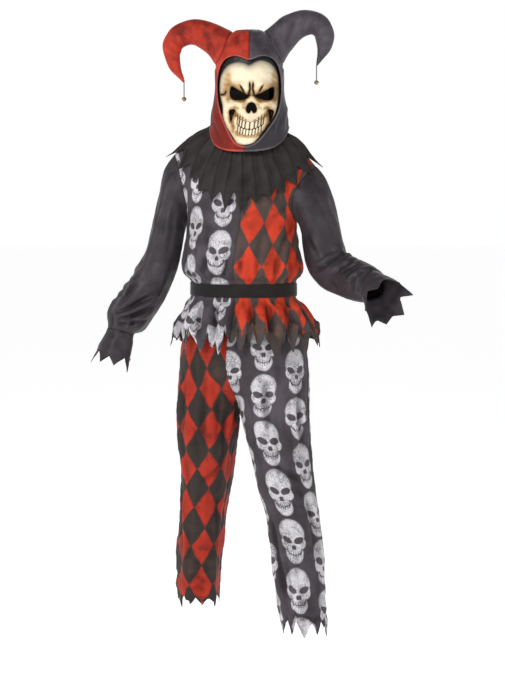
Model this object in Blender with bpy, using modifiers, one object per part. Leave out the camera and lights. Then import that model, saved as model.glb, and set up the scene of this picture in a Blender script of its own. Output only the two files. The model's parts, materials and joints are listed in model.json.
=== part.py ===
"""A jester costume that keeps the shape of a standing wearer, with nobody in it.

The pieces are those a maker cuts and sews: a parti-coloured hood with two curled horns and a
mask in its face opening, a gathered ruff with dagged points, a tunic of two fronts and two
backs with sleeves and dagged cuffs, a belt, and trousers of four leg panels on a waistband.
Every cloth piece is a thin open wall. Metres, +Z up, the front faces -Y, +X is the wearer's
left. The origin lies between the shoulders, where the wearer holds the costume up.
"""

import math

import bmesh
import bpy
import numpy as np
from mathutils import Vector
from mathutils.bvhtree import BVHTree

CLOTH = 0.0015
BELT_THICKNESS = 0.0025
MASK_THICKNESS = 0.002
SEAM_GAP = 0.0003
# How far a piece is drawn back along a seam, and at a corner where more than two pieces meet.
SEAM_BACK = 0.75 * SEAM_GAP
CORNER_BACK = 2.2 * SEAM_GAP

# The torso is turned this much towards the wearer's right, like the feet it stands over.
TURN = math.radians(-20)

TUNIC_COLUMNS = 12
YOKE_ROWS = 7
TUNIC_POINT_DEPTH = 0.034
TUNIC_RINGS = {
    "z": (-0.556, -0.524, -0.490, -0.452, -0.424, -0.405, -0.361, -0.345, -0.318, -0.276, -0.232, -0.190),
    "x": (0.003, 0.003, 0.002, 0.000, -0.003, -0.005, -0.005, -0.006, -0.008, -0.009, -0.009, -0.008),
    "half_width": (0.224, 0.218, 0.206, 0.188, 0.172, 0.157, 0.157, 0.172, 0.183, 0.176, 0.166, 0.164),
    "half_depth": (0.174, 0.167, 0.156, 0.140, 0.124, 0.109, 0.109, 0.124, 0.138, 0.138, 0.134, 0.130),
    "gather": (0.000, 0.000, 0.001, 0.002, 0.003, 0.0012, 0.0012, 0.0030, 0.0020, 0.001, 0.000, 0.000),
    "flute": (0.010, 0.009, 0.008, 0.006, 0.003, 0.000, 0.000, 0.002, 0.005, 0.004, 0.003, 0.002),
}
GATHERS = 24
FLUTES = ((12, 0.2, 0.62), (7, 1.3, 0.38))

NECK_CENTRE = (0.008, 0.008)
NECK_HALF_WIDTH = 0.080
NECK_HALF_DEPTH = 0.074
NECK_FRONT_Z, NECK_BACK_Z = 0.034, 0.080
SHOULDERS = {
    "right": {"neck_z": 0.086, "tip": (-0.204, 0.044, 0.010), "armpit_in": 0.022},
    "left": {"neck_z": 0.078, "tip": (0.204, -0.044, -0.028), "armpit_in": 0.022},
}
SHOULDER_CROWN = 0.008
CHEST_BOW = 0.018
ARMHOLE_FORWARD = 0.050

SLEEVES = {
    "right": {
        "x": (-0.228, -0.241, -0.256, -0.279, -0.304, -0.328, -0.347, -0.358, -0.362),
        "y": (0.044, 0.044, 0.041, 0.035, 0.027, 0.018, 0.010, 0.005, 0.003),
        "z": (-0.220, -0.276, -0.320, -0.368, -0.410, -0.445, -0.473, -0.494, -0.508),
        "out": (0.048, 0.052, 0.055, 0.058, 0.060, 0.061, 0.059, 0.048, 0.040),
        "front": (0.060, 0.060, 0.060, 0.060, 0.060, 0.060, 0.057, 0.046, 0.038),
        "fold": (0.002, 0.003, 0.003, 0.004, 0.004, 0.005, 0.005, 0.003, 0.002),
    },
    "left": {
        "x": (0.226, 0.231, 0.241, 0.261, 0.285, 0.308, 0.330, 0.348, 0.356),
        "y": (-0.046, -0.052, -0.064, -0.088, -0.120, -0.151, -0.182, -0.207, -0.219),
        "z": (-0.218, -0.264, -0.301, -0.325, -0.339, -0.348, -0.355, -0.359, -0.361),
        "out": (0.050, 0.057, 0.061, 0.060, 0.058, 0.056, 0.055, 0.051, 0.043),
        "front": (0.060, 0.058, 0.058, 0.058, 0.058, 0.056, 0.055, 0.051, 0.043),
        "fold": (0.002, 0.004, 0.005, 0.005, 0.004, 0.004, 0.004, 0.003, 0.002),
    },
}
SLEEVE_HEAD_ROWS = 3
SLEEVE_HEAD_OUT = 0.66
SLEEVE_HEAD_DOWN = 0.80
SLEEVE_HEAD_FALL = 0.30
SLEEVE_FOLDS = 5
CUFFS = {
    "right": {"reach": (0.30, 0.62, 1.0), "length": 0.104, "flare": 0.20, "droop": 0.30},
    "left": {"reach": (0.30, 0.62, 1.0), "length": 0.088, "flare": 0.55, "droop": 0.75},
}
CUFF_POINT_SHARE = 0.48

BELT_TOP, BELT_BOTTOM = -0.3645, -0.4020

TROUSER_COLUMNS = 10
TROUSER_ROWS = (-0.362, -0.393, -0.412, -0.440, -0.490, -0.545, -0.600, -0.655, -0.710, -0.752)
HIP_RINGS = {
    "z": (-0.362, -0.393, -0.412, -0.440, -0.490, -0.545, -0.600, -0.700, -0.752),
    "half_width": (0.1539, 0.1539, 0.1539, 0.160, 0.175, 0.187, 0.194, 0.198, 0.198),
    "half_depth": (0.1059, 0.1059, 0.1059, 0.113, 0.127, 0.136, 0.142, 0.145, 0.145),
}
HIP_X = -0.005
CROTCH = (-0.016, -0.003, -0.752)
RISE_TOP = -0.600
LEGS = {
    "right": {
        "z": (-0.752, -0.820, -0.890, -0.961, -1.033, -1.113, -1.180, -1.245, -1.318),
        "x": (-0.108, -0.111, -0.114, -0.116, -0.126, -0.132, -0.138, -0.141, -0.140),
        "y": (0.020, 0.034, 0.048, 0.062, 0.075, 0.085, 0.091, 0.096, 0.100),
        "half_width": (0.091, 0.086, 0.081, 0.076, 0.071, 0.068, 0.067, 0.065, 0.062),
        "half_depth": (0.098, 0.093, 0.087, 0.080, 0.075, 0.072, 0.071, 0.069, 0.067),
        "turn": (-20, -20, -21, -22, -23, -24, -25, -25, -25),
        "fold": (0.002, 0.004, 0.004, 0.003, 0.003, 0.003, 0.004, 0.005, 0.003),
    },
    "left": {
        "z": (-0.752, -0.820, -0.895, -0.972, -1.035, -1.099, -1.170, -1.246, -1.322),
        "x": (0.087, 0.097, 0.108, 0.123, 0.137, 0.147, 0.153, 0.162, 0.173),
        "y": (-0.030, -0.046, -0.067, -0.090, -0.110, -0.128, -0.144, -0.158, -0.169),
        "half_width": (0.102, 0.093, 0.086, 0.080, 0.076, 0.073, 0.071, 0.068, 0.065),
        "half_depth": (0.100, 0.094, 0.088, 0.083, 0.078, 0.074, 0.072, 0.070, 0.068),
        "turn": (-20, -18, -15, -12, -9, -7, -5, -4, -4),
        "fold": (0.002, 0.004, 0.004, 0.004, 0.003, 0.004, 0.004, 0.004, 0.003),
    },
}
LEG_FOLDS = 5
LEG_POINT_DEPTH = 0.036
LEG_HEM_RISE = 0.040

RUFF_POINTS = 26
RUFF_ROWS = (0.0, 0.12, 0.28, 0.46, 0.64, 0.82)
RUFF_FRONT, RUFF_SIDE, RUFF_BACK = 0.200, 0.160, 0.190
RUFF_POINT_DEPTH = 0.040
RUFF_PLEAT = 0.008
RUFF_CLEAR = 0.0060
RUFF_FROM = (0.000, 0.000, -0.120)

HOOD_X = 0.013
HOOD_RINGS = {
    "z": (0.000, 0.045, 0.080, 0.120, 0.155, 0.190, 0.225, 0.255, 0.285, 0.312, 0.335, 0.351, 0.360),
    "half_width": (
        0.117, 0.116, 0.114, 0.110, 0.105, 0.1005, 0.100, 0.099, 0.095, 0.086, 0.072, 0.050, 0.016,
    ),
    "half_depth": (
        0.117, 0.114, 0.112, 0.110, 0.110, 0.112, 0.114, 0.112, 0.105, 0.094, 0.078, 0.054, 0.018,
    ),
}
HOOD_EYE_LEVEL = 0.200
HOOD_HEAD = (HOOD_X, 0.000, 0.200)
FACE_BROW = ((0.000, 0.264), (0.030, 0.275), (0.064, 0.271), (0.085, 0.243), (0.0915, 0.200))
FACE_CHEEK = (
    (0.0915, 0.200), (0.0900, 0.165), (0.0835, 0.130), (0.0700, 0.097),
    (0.0510, 0.064), (0.0270, 0.034), (0.000, 0.026),
)
HOOD_HEM = {"front": 0.010, "side": 0.103, "back": 0.090, "climb": 1.4}
HOOD_TWIST = math.radians(-8)
HOOD_TWIST_FROM = 0.120
HOOD_ROUND = {"crown": 4, "temple": 8, "nape": 5}
HOOD_TEMPLE_SPREAD = 1.15
HOOD_CROWN_ROWS = 4
HORNS = {
    "right": {
        "base": (-0.062, 0.000, 0.313), "axis": (-0.85, 0.0, 0.52), "base_radius": 0.049,
        "x": (-0.086, -0.116, -0.148, -0.176, -0.196, -0.208, -0.210, -0.205, -0.194, -0.182, -0.1755),
        "z": (0.331, 0.346, 0.353, 0.347, 0.333, 0.313, 0.292, 0.269, 0.244, 0.224, 0.212),
        "radius": (0.044, 0.039, 0.036, 0.034, 0.031, 0.027, 0.0235, 0.019, 0.0135, 0.0075, 0.0025),
    },
    "left": {
        "base": (0.088, 0.000, 0.318), "axis": (0.82, 0.0, 0.57), "base_radius": 0.050,
        "x": (0.109, 0.132, 0.159, 0.184, 0.204, 0.220, 0.230, 0.231, 0.225, 0.214, 0.2065),
        "z": (0.341, 0.361, 0.375, 0.380, 0.375, 0.361, 0.341, 0.320, 0.298, 0.275, 0.259),
        "radius": (0.045, 0.042, 0.038, 0.035, 0.0335, 0.031, 0.028, 0.024, 0.017, 0.009, 0.0025),
    },
}
HORN_LEAN = 0.012
HORN_FLARE = 0.016
HORN_FLARE_TURN = math.radians(130)

MASK_COLUMNS = 20
MASK_UNDER_HOOD = 0.0058
MASK_ASIDE = 0.006
MASK_FADE = 0.010
MASK_OUTLINE = {
    "z": (0.016, 0.025, 0.031, 0.038, 0.050, 0.064, 0.082, 0.100, 0.116, 0.131, 0.147,
          0.164, 0.182, 0.200, 0.218, 0.243, 0.266, 0.288),
    "half_angle": (10, 17, 21, 25, 30, 36, 43, 51, 57, 61, 65, 70, 73, 75, 76, 73, 61, 42),
}
MASK_RELIEF = {
    # Gently rounded bumps and hollows of a plain skull, mirrored, as (across, z) and their reach.
    "across": (0.020, 0.044, 0.040, 0.000, 0.062, 0.054, 0.000, 0.000, 0.000, 0.080),
    "z": (0.181, 0.199, 0.168, 0.160, 0.143, 0.112, 0.132, 0.088, 0.044, 0.205),
    "half_width": (0.014, 0.022, 0.026, 0.010, 0.018, 0.010, 0.013, 0.042, 0.024, 0.016),
    "half_height": (0.010, 0.010, 0.016, 0.010, 0.011, 0.017, 0.014, 0.026, 0.016, 0.026),
    "push": (0.009, 0.009, -0.017, 0.008, 0.010, -0.013, -0.009, 0.013, 0.011, -0.005),
}
MASK_EYE = (
    (0.012, 0.166), (0.022, 0.159), (0.038, 0.155), (0.054, 0.157), (0.062, 0.166),
    (0.064, 0.180), (0.062, 0.188), (0.053, 0.187), (0.038, 0.180), (0.024, 0.172),
)
MASK_NOSE = ((0.000, 0.147), (0.009, 0.143), (0.015, 0.131), (0.013, 0.121), (0.007, 0.118), (0.000, 0.123))
GAUZE_ROWS = (8, 13)
GAUZE_COLUMNS = (4, 16)
GAUZE_THICKNESS = 0.001

BELL_RADIUS = 0.0065
BELL_CORD = 0.0015
BELL_CORD_LENGTH = 0.040

COLOURS = {
    "red": ((0.420, 0.046, 0.028, 1.0), 0.62),
    "charcoal": ((0.052, 0.046, 0.054, 1.0), 0.55),
    "black": ((0.018, 0.016, 0.016, 1.0), 0.75),
    "harlequin": ((0.230, 0.045, 0.032, 1.0), 0.62),
    "skull_print": ((0.190, 0.184, 0.196, 1.0), 0.60),
    "bone": ((0.760, 0.640, 0.420, 1.0), 0.42),
    "gilt": ((0.560, 0.480, 0.260, 1.0), 0.32),
    "twine": ((0.300, 0.290, 0.270, 1.0), 0.70),
}
SIDES = {"right": -1, "left": 1}
FACES = {"front": -1, "back": 1}


def along(keys, values, at):
    """The smooth curve through (keys, values), read at one place."""
    keys, values = np.asarray(keys, float), np.asarray(values, float)
    if keys[0] > keys[-1]:
        keys, values = keys[::-1], values[::-1]
    steps = np.diff(values) / np.diff(keys)
    slopes = np.concatenate([[steps[0]], (steps[1:] + steps[:-1]) / 2, [steps[-1]]])
    flat = np.concatenate([[False], steps[1:] * steps[:-1] <= 0, [False]])
    slopes[flat] = 0
    at = min(max(at, keys[0]), keys[-1])
    i = min(int(np.searchsorted(keys, at, "right")) - 1, len(steps) - 1)
    width = keys[i + 1] - keys[i]
    t = (at - keys[i]) / width
    return (
        values[i] * (1 - t) ** 2 * (1 + 2 * t)
        + values[i + 1] * t * t * (3 - 2 * t)
        + slopes[i] * width * t * (1 - t) ** 2
        - slopes[i + 1] * width * t * t * (1 - t)
    )


def turned(x, y, angle):
    """A point on the ground plane, turned about the origin."""
    return (
        x * math.cos(angle) - y * math.sin(angle),
        x * math.sin(angle) + y * math.cos(angle),
    )


def unit(vector):
    """The vector at length one."""
    vector = np.asarray(vector, float)
    return vector / np.linalg.norm(vector)


class Cloth:
    """Quads of several cut pieces, which share their points along the seams."""

    def __init__(self):
        self.points = []
        self.index = {}
        self.quads = {}

    def number(self, point):
        """The number of this point, which a neighbouring piece may have brought already."""
        key = tuple(round(float(x), 6) for x in point)
        if key not in self.index:
            self.index[key] = len(self.points)
            self.points.append(np.asarray(point, float))
        return self.index[key]

    def add(self, piece, grid, closed=False):
        """Adds rows of points as quads of a piece. A closed grid's last column meets its first."""
        rows = [[self.number(p) for p in row] for row in grid]
        columns = len(rows[0])
        for low, high in zip(rows, rows[1:]):
            for c in range(columns if closed else columns - 1):
                n = (c + 1) % columns
                self.quads.setdefault(piece, []).append((low[c], low[n], high[n], high[c]))

    def face_outwards(self):
        """Winds every quad the same way, with the normals away from the cloth's inside."""
        mesh = bmesh.new()
        corners = [mesh.verts.new(p) for p in self.points]
        owners = []
        for piece, quads in self.quads.items():
            for quad in quads:
                ring = list(dict.fromkeys(quad))
                mesh.faces.new([corners[i] for i in ring])
                owners.append(piece)
        mesh.verts.index_update()
        mesh.faces.index_update()
        bmesh.ops.recalc_face_normals(mesh, faces=mesh.faces)
        middle = Vector(np.mean(self.points, axis=0))
        flux = sum((f.calc_center_median() - middle).dot(f.normal) * f.calc_area() for f in mesh.faces)
        if flux < 0:
            bmesh.ops.reverse_faces(mesh, faces=mesh.faces)
        self.quads = {piece: [] for piece in self.quads}
        for face in mesh.faces:
            self.quads[owners[face.index]].append(tuple(v.index for v in face.verts))
        mesh.free()
        self.normals = np.zeros((len(self.points), 3))
        for quads in self.quads.values():
            normals = {}
            for quad in quads:
                ring = [self.points[i] for i in quad]
                normal = np.cross(ring[2] - ring[0], ring[-1] - ring[1])
                for i in quad:
                    normals[i] = normals.get(i, 0) + normal
            for i, normal in normals.items():
                self.normals[i] += unit(normal)
        self.normals /= np.linalg.norm(self.normals, axis=1)[:, None]

    def faces_of_wall(self, piece, thickness):
        """A piece's outer and inner points, drawn back by half the seam gap beside a neighbour."""
        sharers = {}
        for other, quads in self.quads.items():
            for i in {i for quad in quads for i in quad}:
                sharers[i] = sharers.get(i, 0) + 1
        inwards, own = {}, {}
        for quad in self.quads[piece]:
            ring = [self.points[i] for i in quad]
            middle = sum(ring) / len(ring)
            normal = np.cross(ring[2] - ring[0], ring[-1] - ring[1])
            for i, point in zip(quad, ring):
                inwards[i] = inwards.get(i, 0) + unit(middle - point)
                own[i] = own.get(i, 0) + normal
        outer, inner = {}, {}
        for i in inwards:
            normal = self.normals[i]
            outer[i] = self.points[i]
            if sharers[i] > 1:
                flat = unit(own[i])
                aside = unit(inwards[i] - flat * (inwards[i] @ flat))
                normal = unit(normal - aside * max(0.0, normal @ aside))
                outer[i] = self.points[i] + aside * (SEAM_BACK if sharers[i] == 2 else CORNER_BACK)
            inner[i] = outer[i] - normal * thickness
        return outer, inner

    def wall(self, piece, colour, thickness=CLOTH):
        """Makes a piece an object: its outer face, its inner face, and a rim round every edge."""
        outer, inner = self.faces_of_wall(piece, thickness)
        order = {i: n for n, i in enumerate(outer)}
        outer, inner = list(outer.values()), list(inner.values())
        shift = len(outer)
        triangles, edges = [], {}
        for quad in self.quads[piece]:
            start = quad.index(min(quad))
            ring = [order[i] for i in quad[start:] + quad[:start]]
            for a, b, c in [(ring[0], ring[k], ring[k + 1]) for k in range(1, len(ring) - 1)]:
                triangles += [(a, b, c), (a + shift, c + shift, b + shift)]
            for a, b in zip(ring, ring[1:] + ring[:1]):
                edges[(a, b)] = (b, a) in edges or edges.get((a, b), False)
                if (b, a) in edges:
                    edges[(b, a)] = True
        for (a, b), shared in edges.items():
            if not shared:
                triangles += [(b, a, a + shift), (b, a + shift, b + shift)]
        return make_object(piece, outer + inner, triangles, colour)


def material(colour):
    """The finish of that name, made once."""
    if colour in bpy.data.materials:
        return bpy.data.materials[colour]
    made = bpy.data.materials.new(colour)
    made.use_nodes = True
    shader = made.node_tree.nodes["Principled BSDF"]
    shader.inputs["Base Color"].default_value = COLOURS[colour][0]
    shader.inputs["Roughness"].default_value = COLOURS[colour][1]
    shader.inputs["Metallic"].default_value = 1.0 if colour == "gilt" else 0.0
    return made


def make_object(name, points, faces, colour):
    """A mesh object in the costume's collection, in its finish."""
    mesh = bpy.data.meshes.new(name)
    mesh.from_pydata([tuple(p) for p in points], [], faces)
    mesh.validate()
    mesh.shade_smooth()
    mesh.set_sharp_from_angle(angle=math.radians(40))
    made = bpy.data.objects.new(name, mesh)
    bpy.data.collections["jester_costume"].objects.link(made)
    mesh.materials.append(material(colour))
    return made


def wave(angle, row):
    """How far the tunic stands out at this angle of a ring: fine gathers and broad flutes."""
    broad = sum(share * math.cos(count * angle + phase) for count, phase, share in FLUTES)
    return row["gather"] * math.cos(GATHERS * angle) + row["flute"] * broad


def tunic_ring(z):
    """The tunic's ring at a height, as its named sizes."""
    keys = TUNIC_RINGS["z"]
    return {name: along(keys, values, z) for name, values in TUNIC_RINGS.items()}


def tunic_point(side, face, share, z, wall_out=0.0):
    """A point of the tunic below the armpits. share runs from the centre seam to the side seam."""
    row = tunic_ring(z)
    turn = share * math.pi / 2
    angle = math.atan2(face * math.cos(turn), side * math.sin(turn))
    out = wave(angle, row) if wall_out == 0 else wall_out
    x = (row["half_width"] + out) * side * math.sin(turn)
    y = (row["half_depth"] + out) * face * math.cos(turn)
    x, y = turned(x, y, TURN)
    return np.array((row["x"] + x, y, z))


def neck_point(side, face, share):
    """A point of the neckline. share runs from its centre front or back to the shoulder seam."""
    turn = share * math.pi / 2
    middle_z = NECK_FRONT_Z if face < 0 else NECK_BACK_Z
    name = "right" if side < 0 else "left"
    z = middle_z + (SHOULDERS[name]["neck_z"] - middle_z) * math.sin(turn) ** 1.6
    x, y = turned(
        NECK_HALF_WIDTH * side * math.sin(turn), NECK_HALF_DEPTH * face * math.cos(turn), TURN / 2
    )
    return np.array((NECK_CENTRE[0] + x, NECK_CENTRE[1] + y, z))


def armhole_point(name, face, share):
    """A point of the armhole. share runs from the armpit up to the shoulder's tip."""
    side = SIDES[name]
    armpit = tunic_point(side, face, 1.0, TUNIC_RINGS["z"][-1])
    tip = np.array(SHOULDERS[name]["tip"])
    across = unit((*turned(-side, 0, TURN), 0))
    ahead = unit((*turned(0, face, TURN), 0))
    bow = math.sin(math.pi * share) ** 0.8
    straight = armpit + (tip - armpit) * share
    return straight + across * SHOULDERS[name]["armpit_in"] * bow + ahead * ARMHOLE_FORWARD * bow


def yoke_edges(name, face):
    """The four edges of a tunic panel above the armpit: lower, upper, centre and armhole."""
    side = SIDES[name]
    top = TUNIC_RINGS["z"][-1]
    lower = [tunic_point(side, face, c / TUNIC_COLUMNS, top) for c in range(TUNIC_COLUMNS + 1)]
    shoulder_neck = neck_point(side, face, 1.0)
    tip = np.array(SHOULDERS[name]["tip"])
    upper = []
    for c in range(TUNIC_COLUMNS + 1):
        share = c / TUNIC_COLUMNS
        crown = np.array((0, 0, SHOULDER_CROWN * math.sin(math.pi * share)))
        upper.append(shoulder_neck + (tip - shoulder_neck) * share + crown)
    seam_rows = YOKE_ROWS - 3
    neck_front = neck_point(side, face, 0.0)
    centre = []
    for r in range(seam_rows + 1):
        share = r / seam_rows
        bow = np.array((0, face * CHEST_BOW * math.sin(math.pi * share), 0))
        centre.append(lower[0] + (neck_front - lower[0]) * share + bow)
    centre += [neck_point(side, face, r / 3) for r in (1, 2, 3)]
    armhole = [armhole_point(name, face, r / YOKE_ROWS) for r in range(YOKE_ROWS + 1)]
    return lower, upper, centre, armhole


def yoke_grid(name, face):
    """The panel above the armpit, spanned between its four edges."""
    lower, upper, centre, armhole = yoke_edges(name, face)
    rows = []
    for r in range(YOKE_ROWS + 1):
        t = r / YOKE_ROWS
        row = []
        for c in range(TUNIC_COLUMNS + 1):
            s = c / TUNIC_COLUMNS
            corners = (
                (1 - s) * (1 - t) * lower[0] + s * (1 - t) * lower[-1]
                + (1 - s) * t * upper[0] + s * t * upper[-1]
            )
            row.append(
                (1 - t) * lower[c] + t * upper[c] + (1 - s) * centre[r] + s * armhole[r] - corners
            )
        rows.append(row)
    return rows


def tunic_panel(name, face):
    """A whole front or back of the tunic, from its dagged hem to the shoulder seam."""
    side = SIDES[name]
    rows = []
    for r, z in enumerate(TUNIC_RINGS["z"][:-1]):
        row = []
        for c in range(TUNIC_COLUMNS + 1):
            dag = TUNIC_POINT_DEPTH if r == 0 and c % 2 == 0 else 0
            row.append(tunic_point(side, face, c / TUNIC_COLUMNS, z + dag * 0.9))
        rows.append(row)
    return rows + yoke_grid(name, face)


def sleeve_frames(name):
    """Each sleeve ring's centre, its outward direction and its forward direction."""
    table = SLEEVES[name]
    centres = np.array(list(zip(table["x"], table["y"], table["z"])))
    tangents = np.gradient(centres, axis=0)
    outer = np.array((SIDES[name], 0, 0.35))
    frames = []
    for centre, tangent in zip(centres, tangents):
        tangent = unit(tangent)
        out = unit(outer - tangent * (outer @ tangent))
        ahead = np.cross(tangent, out) * SIDES[name]
        frames.append((centre, out, unit(ahead)))
    return frames


def armhole_loop(name):
    """The armhole's points, from the armpit over the front to the shoulder and down the back."""
    front = [armhole_point(name, -1, r / YOKE_ROWS) for r in range(YOKE_ROWS + 1)]
    back = [armhole_point(name, 1, r / YOKE_ROWS) for r in range(YOKE_ROWS + 1)]
    return front + back[-2:0:-1]


def sleeve_ring(name, row, count):
    """A ring of a sleeve, from its inner side over the front, with soft lengthwise folds."""
    table = SLEEVES[name]
    centre, out, ahead = sleeve_frames(name)[row]
    ring = []
    for k in range(count):
        turn = 2 * math.pi * k / count
        fold = table["fold"][row] * math.cos(SLEEVE_FOLDS * turn + 0.45 * row)
        aside = out * (table["out"][row] + fold) * math.cos(turn)
        ring.append(centre - aside + ahead * (table["front"][row] + fold) * math.sin(turn))
    return ring


def sleeve_grid(name):
    """A sleeve, from the armhole over the rounded sleeve head to the gathered wrist."""
    loop = armhole_loop(name)
    first = sleeve_ring(name, 0, len(loop))
    down = unit(sleeve_frames(name)[1][0] - sleeve_frames(name)[0][0])
    rows = [loop]
    for r in range(1, SLEEVE_HEAD_ROWS + 1):
        t = r / (SLEEVE_HEAD_ROWS + 1)
        row = []
        for k, (start, end) in enumerate(zip(loop, first)):
            fall = (math.cos(2 * math.pi * k / len(loop)) - 1) * SLEEVE_HEAD_FALL
            outwards = unit((*turned(SIDES[name], 0, TURN), fall))
            length = np.linalg.norm(end - start)
            row.append(
                start * (1 - t) ** 2 * (1 + 2 * t)
                + end * t * t * (3 - 2 * t)
                + outwards * length * SLEEVE_HEAD_OUT * t * (1 - t) ** 2
                - down * length * SLEEVE_HEAD_DOWN * t * t * (1 - t)
            )
        rows.append(row)
    rows.append(first)
    rows += [sleeve_ring(name, r, len(loop)) for r in range(1, len(SLEEVES[name]["z"]))]
    return rows


def cuff_grid(name, wrist):
    """The dagged frill below a gathered wrist, whose points hang towards the ground."""
    sizes = CUFFS[name]
    frames = sleeve_frames(name)
    centre = frames[-1][0]
    forward = unit(frames[-1][0] - frames[-3][0])
    rows = [wrist]
    for reach in sizes["reach"]:
        row = []
        for k, start in enumerate(wrist):
            radial = unit(start - centre)
            heading = unit(forward + radial * sizes["flare"] + np.array((0, 0, -sizes["droop"])))
            last = reach == sizes["reach"][-1]
            share = CUFF_POINT_SHARE if last and k % 2 == 0 else 1.0
            uneven = 1 + 0.10 * math.sin(2.1 * k)
            length = sizes["length"] * (max(reach * share, 0.68) if last else reach * 0.9)
            row.append(start + heading * length * uneven)
        rows.append(row)
    return rows


def make_tunic():
    """The four tunic panels, the sleeves and their cuffs. Returns the sewn cloth."""
    tunic = Cloth()
    prints = {"right": "skull_print", "left": "harlequin"}
    for name in SIDES:
        for face_name, face in FACES.items():
            tunic.add(f"tunic_{face_name}_{name}", tunic_panel(name, face))
        sleeve = sleeve_grid(name)
        tunic.add(f"sleeve_{name}", sleeve, closed=True)
        tunic.add(f"cuff_{name}", cuff_grid(name, sleeve[-1]), closed=True)
    tunic.face_outwards()
    for name in SIDES:
        for face_name in FACES:
            tunic.wall(f"tunic_{face_name}_{name}", prints[name])
        tunic.wall(f"sleeve_{name}", "charcoal")
        tunic.wall(f"cuff_{name}", "charcoal")
    return tunic


def make_belt():
    """A plain webbing band that draws the tunic in over the trousers' waistband."""
    belt = Cloth()
    out = TUNIC_RINGS["gather"][5] + SEAM_GAP + BELT_THICKNESS
    rows = []
    for z in (BELT_BOTTOM, BELT_TOP):
        quarters = [(1, -1, True), (1, 1, False), (-1, 1, True), (-1, -1, False)]
        row = []
        for side, face, from_centre in quarters:
            for c in range(TUNIC_COLUMNS):
                share = c / TUNIC_COLUMNS if from_centre else 1 - c / TUNIC_COLUMNS
                row.append(tunic_point(side, face, share, z, wall_out=out))
        rows.append(row)
    belt.add("belt", rows, closed=True)
    belt.face_outwards()
    belt.wall("belt", "black", BELT_THICKNESS)


def leg_row(name, z):
    """A leg's ring at a height, as its named sizes."""
    table = LEGS[name]
    return {key: along(table["z"], values, z) for key, values in table.items()}


def trouser_point(name, face, share, z, level):
    """A point of a leg panel. share runs from the side seam to the inseam or the centre seam.

    level is the height that its sizes are read at, which a dagged hem leaves as it is.
    """
    side = SIDES[name]
    leg = leg_row(name, level)
    half_turn = share * math.pi
    fold = leg["fold"] * math.cos(LEG_FOLDS * half_turn * -face + 6 * level)
    x = side * math.cos(half_turn) * (leg["half_width"] + fold)
    y = face * math.sin(half_turn) * (leg["half_depth"] + fold)
    x, y = turned(x, y, math.radians(leg["turn"]))
    as_leg = np.array((leg["x"] + x, leg["y"] + y, z))
    if level < CROTCH[2] - 1e-9:
        return as_leg
    as_leg += (np.array(CROTCH) - as_leg) * share**6 * np.array((1, 1, 0))
    rise = min(1.0, (level - CROTCH[2]) / (RISE_TOP - CROTCH[2]))
    rise = rise * rise * (3 - 2 * rise)
    keys = HIP_RINGS["z"]
    quarter = share * math.pi / 2
    x = side * math.cos(quarter) * along(keys, HIP_RINGS["half_width"], level)
    y = face * math.sin(quarter) * along(keys, HIP_RINGS["half_depth"], level)
    x, y = turned(x, y, TURN)
    as_hip = np.array((HIP_X + x, y, z))
    return as_leg + (as_hip - as_leg) * rise


def trouser_panel(name, face):
    """A front or back of one leg, from the dagged hem up to the waistband."""
    levels = [*LEGS[name]["z"][:0:-1], *TROUSER_ROWS[:0:-1]]
    rows = []
    for r, level in enumerate(levels):
        row = []
        for c in range(TROUSER_COLUMNS + 1):
            z = level
            if r == 0:
                z -= 0.0 if c % 2 == 0 else LEG_POINT_DEPTH
            if r == 1:
                z = levels[0] + LEG_HEM_RISE
            row.append(trouser_point(name, face, c / TROUSER_COLUMNS, z, level))
        rows.append(row)
    return rows


def make_trousers():
    """The four leg panels and the waistband that they hang from."""
    trousers = Cloth()
    prints = {"right": "harlequin", "left": "skull_print"}
    for name in SIDES:
        for face_name, face in FACES.items():
            trousers.add(f"leg_{name}_{face_name}", trouser_panel(name, face))
            band = [
                [
                    trouser_point(name, face, c / TROUSER_COLUMNS, z, z)
                    for c in range(TROUSER_COLUMNS + 1)
                ]
                for z in TROUSER_ROWS[1::-1]
            ]
            trousers.add("waistband", band)
    trousers.face_outwards()
    for name in SIDES:
        for face_name in FACES:
            trousers.wall(f"leg_{name}_{face_name}", prints[name])
    trousers.wall("waistband", "black")


def surface_tree(cloth):
    """The outer faces of sewn cloth, for rays."""
    faces = [quad for quads in cloth.quads.values() for quad in quads]
    return BVHTree.FromPolygons([Vector(p) for p in cloth.points], faces)


def ruff_profile(tree, angle):
    """The line down the tunic from the neckline at one angle, as (length so far, point, outward)."""
    start = Vector(RUFF_FROM)
    side, face = (1 if math.cos(angle) > 0 else -1), (1 if math.sin(angle) > 0 else -1)
    share = math.atan2(abs(math.cos(angle)), abs(math.sin(angle))) / (math.pi / 2)
    neck = Vector(neck_point(side, face, share))
    first = neck - start
    flat = Vector((first.x, first.y, 0))
    tilt = math.atan2(flat.length, first.z)
    flat.normalize()
    points = []
    for step in range(60):
        polar = tilt + math.radians(0.8 + 1.9 * step)
        heading = flat * math.sin(polar) + Vector((0, 0, math.cos(polar)))
        hit = tree.ray_cast(start + heading * 0.5, -heading)[0]
        if hit is not None:
            points.append((hit, heading))
    found, total = [(0.0, neck, first.normalized())], 0.0
    for point, heading in points:
        total += (point - found[-1][1]).length
        found.append((total, point, heading))
    return found


def ruff_point(profile, length, out):
    """The point that lies this far down a profile, moved out from the tunic."""
    for (before, a, heading_a), (after, b, heading_b) in zip(profile, profile[1:]):
        if after >= length:
            t = (length - before) / max(after - before, 1e-9)
            return np.array(a.lerp(b, t) + heading_a.lerp(heading_b, t).normalized() * out)
    return np.array(profile[-1][1] + profile[-1][2] * out)


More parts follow.
